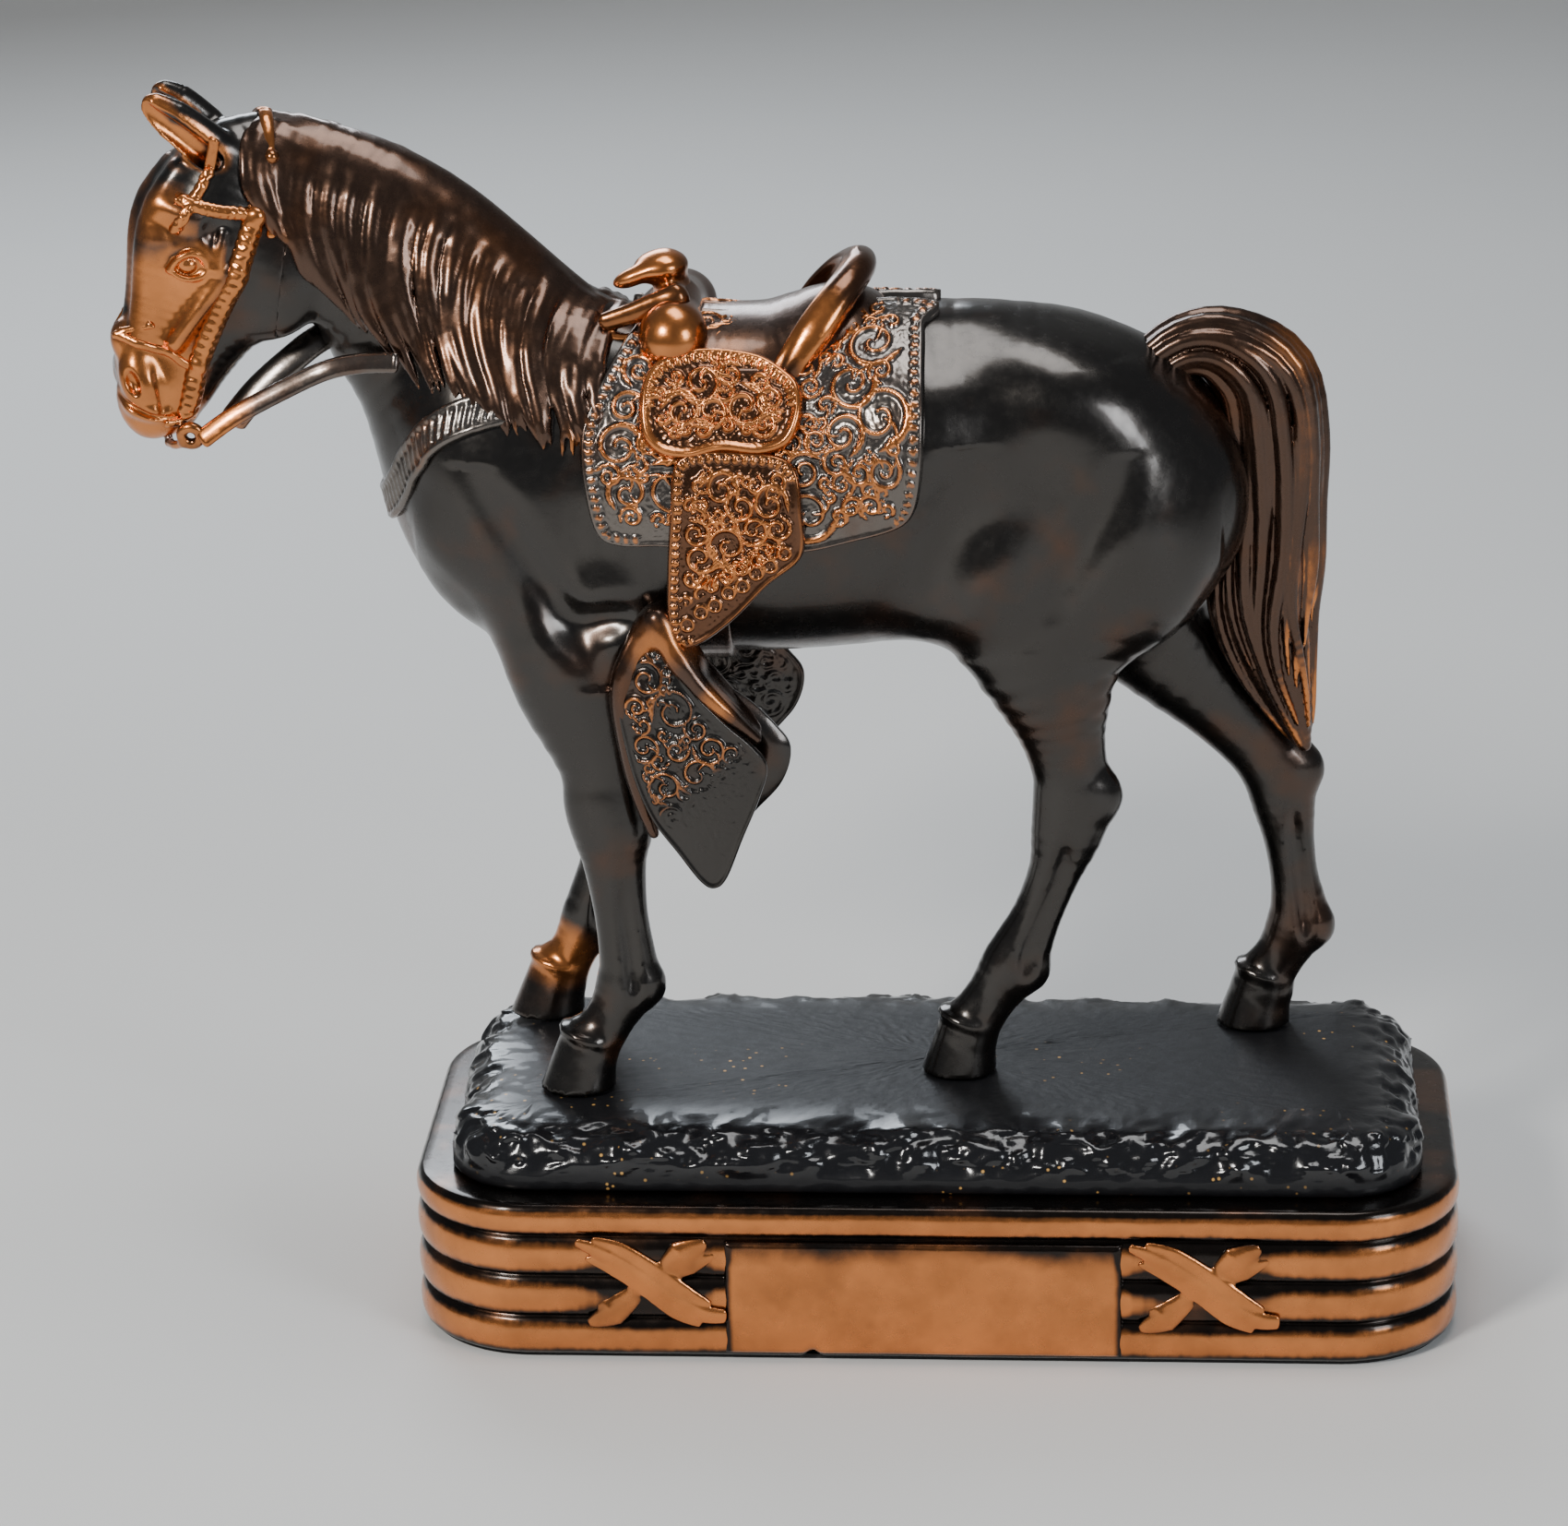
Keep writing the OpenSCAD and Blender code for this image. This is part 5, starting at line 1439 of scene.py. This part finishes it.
def build_panel(word, side, skins):
    """The blank name panel, slightly dished, with soft edges."""
    left, right, low, high = -35.6, 32.6, 1.4, 22.6
    nx, nz = 150, 54
    u = np.linspace(left, right, nx)
    v = np.linspace(low, high, nz)
    uu, vv = np.meshgrid(u, v, indexing="ij")
    gap = np.minimum(np.minimum(uu - left, right - uu), np.minimum(vv - low, (high - vv)))
    edge = np.sqrt(np.clip(1 - (1 - np.clip(gap / 1.5, 0, 1))**2, 0, 1))
    flat = np.column_stack([uu.ravel(), vv.ravel(), np.zeros(nx * nz)])
    swell = rough(flat, 0.07, 2).reshape(nx, nz) * 0.12 + rough(flat, 0.5, 3).reshape(nx, nz) * 0.035
    dish = 0.3 * np.sin(math.pi * (vv - low) / (high - low)) * np.sin(math.pi * (uu - left) / (right
            - left))**0.5
    out = float(PLINTH_HIGH[1]) - 1.3 + edge * (1.62 - 0.3 * dish) + swell * edge
    chip = 1.4 * np.exp(-(((uu - CHIP_X) / 1.0)**2 + ((vv - 1.2) / 1.6)**2)) if side < 0 else 0
    front = np.column_stack([uu.ravel(), side * (out - chip).ravel(), vv.ravel()])
    back = np.column_stack([uu.ravel(), np.full(nx * nz, side * (float(PLINTH_HIGH[1]) - 2.6)), vv.ravel()])
    points = np.concatenate([front, back])
    grid = np.arange(nx * nz).reshape(nx, nz)
    n = nx * nz
    a, b, c, d = grid[:-1, :-1].ravel(), grid[1:, :-1].ravel(), grid[1:, 1:].ravel(), grid[:-1, 1:].ravel()
    faces = np.stack([a, b, c, d], 1).tolist() + np.stack([n + d, n + c, n + b, n + a], 1).tolist()
    rim = np.concatenate([grid[:, 0], grid[-1, 1:], grid[-2::-1, -1], grid[0, -2:0:-1]])
    turn = np.roll(rim, -1)
    faces += np.stack([turn, rim, rim + n, turn + n], 1).tolist()
    piece = make_mesh(word + "_panel", points, faces, skins["plinth"])
    top_dark = np.clip((vv - 17.6) / 5, 0, 1) * 0.5
    end_dark = np.clip(1 - (uu - left) / 1.9, 0, 1) * 0.85 + np.clip(1 - (right - uu) / 1.9, 0, 1) * 0.85
    bright = np.clip(0.78 - top_dark - end_dark + swell * 1.2 - 0.5 * np.clip(1 - gap / 0.4, 0, 1),
                     0, 1).ravel()
    paint(piece, "rub_and_painted_light", np.concatenate([bright, np.zeros(n)]))
    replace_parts(piece, word + "_panel")


def build_lashing(name, x, side, skins):
    """Two crossed thongs with split, leaf-shaped ends, bound over the reeds."""
    face = side * float(PLINTH_HIGH[1])
    z = LASHING_Z
    low = [x - 16, min(face, face + side * 1.4) - 2.4, 3]
    high = [x + 16, max(face, face + side * 1.4) + 2.4, 26]
    clay = Clay(low, high, 0.25)
    hand = 1 if side < 0 else -1

    def thong(places, radii, proud, squash=0.36):
        """One flat thong of the lashing."""
        line = smooth([[x + hand * px, face + side * (1.3 * proud - 0.3), z + pz] for px, pz in places], 6)
        clay.add(rod(line, np.interp(np.linspace(0, 1, len(line)), np.linspace(0, 1, len(radii)), radii),
                     squash), 0.25)

    # below: the thong that falls to the left
    thong([[-10.5, -7.6], [-6.5, -5.6], [-2.5, -2.2]], [0.9, 2.6, 1.6], 0.0)
    thong([[-9, -4.4], [-5.5, -3.4], [-2, -0.8]], [0.6, 1.5, 1.2], 0.05)
    thong([[9.4, 7.4], [5.6, 5.2], [1.8, 1.8]], [1.0, 2.9, 1.5], 0.0)
    thong([[11, 5.2], [7, 3.2], [3.4, 1.2]], [0.7, 1.6, 1.0], 0.05)
    # above: the broad thong from upper left to lower right, in two plies with split ends
    thong([[-12.4, 7.6], [-7, 5.2], [-1.4, 1.5], [4.6, -2.9], [9, -5.4], [12.6, -5.9]],
          [0.7, 1.7, 1.9, 1.8, 1.7, 1.3], 0.42)
    thong([[-9.6, 8.0], [-5, 6.4], [0.4, 2.8], [5.8, -1.4], [10, -3.9]], [0.7, 1.3, 1.5, 1.5, 0.8], 0.36)
    thong([[-10.8, 4.6], [-6, 2.4], [-1, -1.0], [4.2, -5.2], [8.4, -7.2]], [0.5, 1.2, 1.3, 1.3, 0.9], 0.34)
    points, quads = clay.skin()
    piece = make_mesh(name, points, quads, skins["plinth"])
    # painted highlight and shade: each thong is painted copper along its proud middle and dark plate at its
    # edges by the reeds, standing in for the light on its rounded top; the ridge rub from wear() is real
    proud = np.clip((side * (points[:, 1] - face) + 0.5) / 1.5, 0, 1)
    paint(piece, "rub_and_painted_light", np.clip(0.1 + 0.85 * proud + 0.3 * wear(clay, points, 0.8), 0, 1))
    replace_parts(piece, name)


def build_ground(skins, s):
    """The rocky mound: a smooth foot, crags on the bank and a stippled top."""
    count = 620
    places, ways = plinth_outline(count)
    foot = float(GROUND_HIGH[2]) - float(PLINTH_HIGH[2])
    base = float(PLINTH_HIGH[2])
    inset0 = float(GROUND_LOW[0] - PLINTH_LOW[0]) + 0.9
    rings, rub_and_painted_light = [], []
    shape = [(0.9, 0.0), (0.3, 0.03), (0.0, 0.09), (0.0, 0.2), (0.1, 0.3), (0.3, 0.4), (0.6, 0.5),
             (1.2, 0.6), (2.0, 0.7),
             (3.2, 0.79), (4.8, 0.86), (7.0, 0.91), (10.5, 0.945), (14, 0.965)]
    fine = smooth([[a, b] for a, b in shape], 4)
    for inset, share in fine:
        ring = places - ways * (inset0 + inset)
        rings.append(np.column_stack([ring, np.full(count, base + foot * share)]))
    last = rings[-1]
    middle = np.column_stack([0.02 * last[:, :2], np.full(count, base + foot * 0.985)])
    for t in np.linspace(0, 1, 46)[1:-1]:
        mixed = last + (middle - last) * t
        mixed[:, 2] = base + foot * (0.965 + 0.024 * math.sin(math.pi / 2 * t))
        rings.append(mixed)
    out, gloss = [], []
    for row, ring in enumerate(rings):
        share = (ring[:, 2] - base) / foot
        crag = np.clip((share - 0.26) / 0.2, 0, 1) * np.clip((0.975 - share) / 0.12, 0.04, 1)
        big = rough(ring, 0.1, 3)
        small = rough(ring, 0.26, 2)
        step = np.floor(big * 2.4 + 0.4 * small) / 2.4
        rise = s.rock_relief * (0.75 * step + 0.5 * big + 0.45 * small) * crag
        stipple = 0.09 * rough(ring, 1.2, 2) * np.clip((share - 0.9) / 0.05, 0, 1)
        moved = ring.copy()
        if row < len(fine):
            moved[:, :2] += ways * (rise * 0.8)[:, None]
            low_ripple = rough(ring, 0.35, 2) * 0.12
            moved[:, :2] += ways * low_ripple[:, None]
        moved[:, 2] = np.minimum(ring[:, 2] + rise * np.clip(share, 0.3, 1) * 0.55 + stipple, base + foot)
        if row == 0:
            moved[:, 2] = base
        out.append(moved)
        rub_and_painted_light.append(np.full(count, 0.9))
        gloss.append(np.clip((0.97 - share) / 0.1, 0, 1) * np.clip((share - 0.12) / 0.3, 0.35, 1))
    mound = stacked("ground", out, skins["ground"], rub_and_painted_light)
    paint(mound, "gloss", np.concatenate(gloss + [gloss[0][:1], gloss[-1][:1]]))
    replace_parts(mound, "ground")


# ---------------------------------------------------------------- camera and stage

CAMERA_PLACE = (0.034514, -0.914542, 0.416864)
CAMERA_AIM = (-0.02639, 0.0, 0.09391)
CAMERA_ROLL = -0.98
CAMERA_LENS = 129.35


def set_camera():
    """The camera, rolled a little."""
    data = bpy.data.cameras.new("camera")
    data.lens = CAMERA_LENS
    data.sensor_width = 36.0
    data.clip_start = 0.05
    camera = bpy.data.objects.new("camera", data)
    bpy.context.scene.collection.objects.link(camera)
    aim = Vector(CAMERA_AIM) - Vector(CAMERA_PLACE)
    turn = aim.to_track_quat("-Z", "Y").to_matrix().to_4x4()
    camera.matrix_world = (Matrix.Translation(CAMERA_PLACE) @ turn
                           @ Matrix.Rotation(math.radians(CAMERA_ROLL), 4, "Z"))
    bpy.context.scene.camera = camera


def soft_box(name, place, aim, size, power, colour=(1, 1, 1)):
    """A square studio light, aimed at a place."""
    data = bpy.data.lights.new(name, "AREA")
    data.shape = "RECTANGLE"
    data.size, data.size_y = size
    data.energy = power
    data.color = colour
    light = bpy.data.objects.new(name, data)
    light.location = place
    light.rotation_euler = (Vector(aim) - Vector(place)).to_track_quat("-Z", "Y").to_euler()
    bpy.context.scene.collection.objects.link(light)


def build_stage(s):
    """Pale floor curving up into a backdrop, and soft studio light."""
    rows = [(-1.6, 0.0), (1.1, 0.0)]
    rows += [(1.1 + 0.5 * math.sin(a), 0.5 - 0.5 * math.cos(a)) for a in np.linspace(0,
            math.pi / 2, 13)[1:]]
    rows.append((1.6, 2.4))
    points = [(x, y, z) for y, z in rows for x in (-2.4, 2.4)]
    faces = [(2 * i, 2 * i + 1, 2 * i + 3, 2 * i + 2) for i in range(len(rows) - 1)]
    mesh = bpy.data.meshes.new("floor")
    mesh.from_pydata(points, [], faces)
    mesh.polygons.foreach_set("use_smooth", [True] * len(faces))
    material, tree, shader = new_material("studio_paper")
    coords = node(tree, "ShaderNodeTexCoord")
    paper = noise(tree, coords, 6.0, 3.0)
    tree.links.new(blend_colour(tree, paper, (0.66, 0.66, 0.65), (0.7, 0.7, 0.69)),
                   shader.inputs["Base Color"])
    shader.inputs["Roughness"].default_value = 0.8
    mesh.materials.append(material)
    floor = bpy.data.objects.new("floor", mesh)
    bpy.context.scene.collection.objects.link(floor)
    world = bpy.data.worlds.new("world")
    bpy.context.scene.world = world
    world.use_nodes = True
    world.node_tree.nodes["Background"].inputs[0].default_value = (0.62, 0.66, 0.72, 1)
    world.node_tree.nodes["Background"].inputs[1].default_value = 0.22
    soft_box("key", (-0.55, -0.75, 0.75), (-0.03, 0, 0.11), (0.2, 0.2), 9.5 * s.light, (1, 0.97, 0.92))
    soft_box("fill", (0.75, -0.7, 0.5), (0, 0, 0.1), (0.3, 0.4), 4.5 * s.light, (0.9, 0.95, 1))
    soft_box("top", (0.05, 0.05, 0.9), (0, 0, 0.1), (0.5, 0.3), 3.0 * s.light)
    soft_box("rim", (-0.3, 0.8, 0.55), (0, 0, 0.12), (0.5, 0.3), 4.0 * s.light, (0.85, 0.92, 1))
    set_camera()


# ---------------------------------------------------------------- settings and operators

def colour_property(name, about, value):
    """A colour setting."""
    return bpy.props.FloatVectorProperty(name=name, description=about, subtype="COLOR", size=3,
                                         default=value, min=0, max=1)


class StatuetteSettings(bpy.types.PropertyGroup):
    """Sizes and finishes a maker may wish to change before building."""
    body_cell: bpy.props.FloatProperty(name="Body grain",
                                       description="Size of the body casting's cells, mm",
                                       default=0.6, min=0.4, max=1.2)
    fine_cell: bpy.props.FloatProperty(name="Detail grain",
                                       description="Size of the head, hair and tack cells, mm",
                                       default=0.32, min=0.25, max=0.8)
    mane_strands: bpy.props.IntProperty(name="Mane locks", description="Locks on the near side of the neck",
                                        default=58, min=20, max=120)
    tail_strands: bpy.props.IntProperty(name="Tail locks", description="Locks round the tail",
                                        default=30, min=10, max=60)
    skirt_thick: bpy.props.FloatProperty(name="Skirt", description="Thickness of the skirts, mm",
                                         default=1.2, min=0.8, max=2)
    jockey_thick: bpy.props.FloatProperty(name="Jockey", description="Thickness of the side jockeys, mm",
                                          default=1.5, min=0.8, max=2.2)
    carving: bpy.props.FloatProperty(name="Carving", description="Height of the leather's scrolls, mm",
                                     default=0.6, min=0.1, max=1)
    reed_groove: bpy.props.FloatProperty(name="Reed groove",
                                         description="Depth between the plinth's reeds, mm",
                                         default=1.6, min=0.6, max=2.2)
    rock_relief: bpy.props.FloatProperty(name="Rock relief", description="Height of the mound's crags, mm",
                                         default=1.5, min=0, max=2.5)
    light: bpy.props.FloatProperty(name="Light", description="Strength of the studio lights",
                                   default=1.0, min=0.1, max=4)
    dark: colour_property("Dark plate", "Gunmetal plate over the casting", (0.055, 0.05, 0.046))
    brown: colour_property("Brown plate", "Where the plate is thin", (0.13, 0.055, 0.026))
    copper: colour_property("Copper", "Bare rubbed copper", (0.74, 0.26, 0.075))
    enamel: colour_property("Ground black", "Black of the rocky mound", (0.006, 0.006, 0.007))
    felt: colour_property("Felt", "Cloth under the plinth", (0.012, 0.012, 0.012))


MADE = {}


def skins_for(s):
    """The shared metals, made once."""
    if "skins" not in MADE:
        dark, brown, copper = tuple(s.dark), tuple(s.brown), tuple(s.copper)
        MADE["skins"] = {
            "dark": plated("gunmetal", dark, tuple(0.5 * (a + b) for a, b in zip(dark, brown)),
                           copper, 0.24),
            "brown": plated("brown_plate", tuple(0.5 * (a + b) for a, b in zip(dark, brown)), brown,
                            copper, 0.26),
            "silver": plated("silver_plate", (0.16, 0.14, 0.125),
                             tuple(0.7 * (a + b) for a, b in zip(dark, brown)),
                             copper, 0.24, 0.42, 0.86),
            "copper": plated("bare_copper", brown, tuple(0.7 * c for c in brown), copper, 0.22, 0.3, 0.75),
            "plinth": plated("plinth_plate", (0.02, 0.014, 0.011), brown, copper, 0.24, 0.3, 0.8, 0.08),
            "ground": black_enamel("black_enamel", tuple(s.enamel)),
            "felt": felt_cloth("base_felt", tuple(s.felt)),
            "steel": zinc("zinc_plate"),
        }
    return MADE["skins"]


def clays_for(s):
    """The horse's clay for the whole body and, finer, for the head; made once."""
    if "body" not in MADE:
        coarse = 1.0
        MADE["body"] = horse_clay([-142, HORSE_Y - 30, 40], [70, HORSE_Y + 30, 213], s.body_cell * coarse)
        MADE["head"] = horse_clay([-142, HORSE_Y - 26, 148], [-97, HORSE_Y + 20, 214], s.fine_cell * coarse)
    return MADE["body"], MADE["head"]


# The head joins the neck on a plane (place, way), where the two castings overlap a little.
HEAD_SEAM = ([-107.5, HORSE_Y, 190], [-1.0, 0, 0.16])
SEAM_OVERLAP = 0.3


def build_horse(s):
    """The horse: body and head."""
    skins = skins_for(s)
    body, head = clays_for(s)
    trunk = Clay(body.low, body.low, body.cell)
    trunk.shape, trunk.field = body.shape, body.field.copy()
    point, way = HEAD_SEAM
    trunk.keep(np.array(point, float) + SEAM_OVERLAP * unit(np.array(way)), way, 0.0)
    points, quads = trunk.skin()
    piece = make_mesh("horse_body", points, quads, skins["dark"])
    paint(piece, "rub_and_painted_light", np.maximum(0.1, blobs(points, BODY_RUB)))
    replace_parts(piece, "torso", "neck", *LEGS)
    skull = Clay(head.low, head.low, head.cell)
    skull.shape, skull.field = head.shape, head.field.copy()
    skull.keep(np.array(point, float) - SEAM_OVERLAP * unit(np.array(way)), [-w for w in way], 0.0)
    points, quads = skull.skin()
    piece = make_mesh("horse_head", points, quads, skins["dark"])
    paint(piece, "rub_and_painted_light", np.clip(blobs(points, HEAD_RUB) + 0.5 * wear(head, points, 1.1), 0.0, 1))
    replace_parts(piece, "head", "near_ear", "far_ear")


# Where the plate is rubbed through: (centre, reach, strength)
BODY_RUB = [
    ([-68, 19, 52], 9, 0.85), ([-57, -14, 47], 8, 0.6), ([-105, -4, 190], 7, 0.3),
    ([-76, -8, 192], 12, 0.3),
    ([-86, 0, 146], 12, 0.28), ([30, 4, 170], 12, 0.3),
]
HEAD_RUB = [
    ([-130, -10, 178], 11, 0.95), ([-131, -9, 168], 11, 1.0), ([-127, -8, 193], 8, 0.8),
    ([-124, -6, 205], 7, 0.8),
    ([-130, -6, 211], 7, 0.9), ([-124, -11, 183], 8, 0.9), ([-118, -4, 203], 7, 0.5),
    ([-131, -10, 160], 10, 1.0),
    ([-134, 2, 184], 14, 0.8), ([-128, 4, 208], 7, 0.5), ([-131, 0, 197], 7, 0.6),
    ([-126, -2, 203], 12, 0.5),
]


def build_hair(s):
    """The mane and the tail."""
    skins = skins_for(s)
    body, _ = clays_for(s)
    cell = s.fine_cell * 1.1
    mane = mane_clay(body, s.mane_strands, cell)
    points, quads = mane.skin()
    piece = make_mesh("mane", points, quads, skins["brown"])
    crest = np.interp(points[:, 0], [-113, -86, -58], [206, 199.6, 177])
    fall = np.clip((crest - points[:, 2]) / 30, 0, 1)
    paint(piece, "rub_and_painted_light", np.clip(0.1 + 0.16 * np.sin(math.pi * fall) + 0.34 * wear(mane, points, 0.8), 0, 1))
    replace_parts(piece, "mane")
    tail = tail_clay(s.tail_strands, cell)
    points, quads = tail.skin()
    piece = make_mesh("tail", points, quads, skins["brown"])
    outer = np.clip((points[:, 0] - 50) / 12, 0, 1)
    top = np.exp(-((points[:, 2] - 169) / 6)**2)
    proud = wear(tail, points, 0.8)
    paint(piece, "rub_and_painted_light", np.clip(0.06 + 0.34 * outer + 0.25 * top + 0.4 * proud * (0.5 + outer), 0, 1))
    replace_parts(piece, "tail")


def build_base(s):
    """The plinth, the mound and the finish of the felt and fixings."""
    skins = skins_for(s)
    build_plinth(skins, s)
    build_ground(skins, s)
    finish_node("felt_pad", skins["felt"])
    for name in ("hoof_studs", "stud_washers", "stud_nuts"):
        finish_node(name, skins["steel"])


def build_saddle(s):
    """The leathers, the saddle tree and the straps."""
    skins = skins_for(s)
    body, _ = clays_for(s)
    cell = s.fine_cell * 1.1
    build_leathers(body, skins, s)
    build_tree(skins, cell)
    build_straps(body, skins, cell)


def build_bridle_set(s):
    """The bridle, the bit and the reins."""
    skins = skins_for(s)
    _, head = clays_for(s)
    build_bridle(head, skins, s.fine_cell * (0.95))


class STATUETTE_OT_horse(bpy.types.Operator):
    """Casts the horse's body and head"""
    bl_idname = "statuette.horse"
    bl_label = "Horse"
    bl_options = {"REGISTER"}

    def execute(self, context):
        """Runs the step."""
        build_horse(context.scene.statuette)
        return {"FINISHED"}


class STATUETTE_OT_hair(bpy.types.Operator):
    """Lays the locks of the mane and tail"""
    bl_idname = "statuette.hair"
    bl_label = "Mane and tail"
    bl_options = {"REGISTER"}

    def execute(self, context):
        """Runs the step."""
        build_hair(context.scene.statuette)
        return {"FINISHED"}


class STATUETTE_OT_saddle(bpy.types.Operator):
    """Tools the skirts, jockeys, fenders and stirrups, and builds the saddle tree and straps"""
    bl_idname = "statuette.saddle"
    bl_label = "Saddle"
    bl_options = {"REGISTER"}

    def execute(self, context):
        """Runs the step."""
        build_saddle(context.scene.statuette)
        return {"FINISHED"}


class STATUETTE_OT_bridle(bpy.types.Operator):
    """Plaits the bridle and hangs the bit and reins"""
    bl_idname = "statuette.bridle"
    bl_label = "Bridle"
    bl_options = {"REGISTER"}

    def execute(self, context):
        """Runs the step."""
        build_bridle_set(context.scene.statuette)
        return {"FINISHED"}


class STATUETTE_OT_base(bpy.types.Operator):
    """Builds the reeded plinth, its panels and lashings, the rocky mound and the fixings' finish"""
    bl_idname = "statuette.base"
    bl_label = "Plinth and ground"
    bl_options = {"REGISTER"}

    def execute(self, context):
        """Runs the step."""
        build_base(context.scene.statuette)
        return {"FINISHED"}


class STATUETTE_OT_stage(bpy.types.Operator):
    """Sets the floor, backdrop, lights and camera"""
    bl_idname = "statuette.stage"
    bl_label = "Stage"
    bl_options = {"REGISTER"}

    def execute(self, context):
        """Runs the step."""
        build_stage(context.scene.statuette)
        return {"FINISHED"}


class STATUETTE_PT_panel(bpy.types.Panel):
    """The sidebar panel"""
    bl_idname = "STATUETTE_PT_panel"
    bl_label = "Saddle horse"
    bl_space_type = "VIEW_3D"
    bl_region_type = "UI"
    bl_category = "Statuette"

    def draw(self, context):
        """Lists the settings, then one button for each step."""
        column = self.layout.column()
        for name in StatuetteSettings.__annotations__:
            column.prop(context.scene.statuette, name)
        for step in STEPS:
            column.operator(step.bl_idname)


STEPS = (STATUETTE_OT_horse, STATUETTE_OT_hair, STATUETTE_OT_saddle, STATUETTE_OT_bridle, STATUETTE_OT_base,
         STATUETTE_OT_stage)
CLASSES = (StatuetteSettings, *STEPS, STATUETTE_PT_panel)


def register():
    """Adds the settings, steps and panel to Blender."""
    for cls in CLASSES:
        bpy.utils.register_class(cls)
    bpy.types.Scene.statuette = bpy.props.PointerProperty(type=StatuetteSettings)


def unregister():
    """Takes them away again."""
    del bpy.types.Scene.statuette
    for cls in reversed(CLASSES):
        bpy.utils.unregister_class(cls)


def main():
    """Builds the whole statuette."""
    register()
    bpy.ops.statuette.horse()
    bpy.ops.statuette.hair()
    bpy.ops.statuette.saddle()
    bpy.ops.statuette.bridle()
    bpy.ops.statuette.base()
    bpy.ops.statuette.stage()


if __name__ == "__main__":
    main()
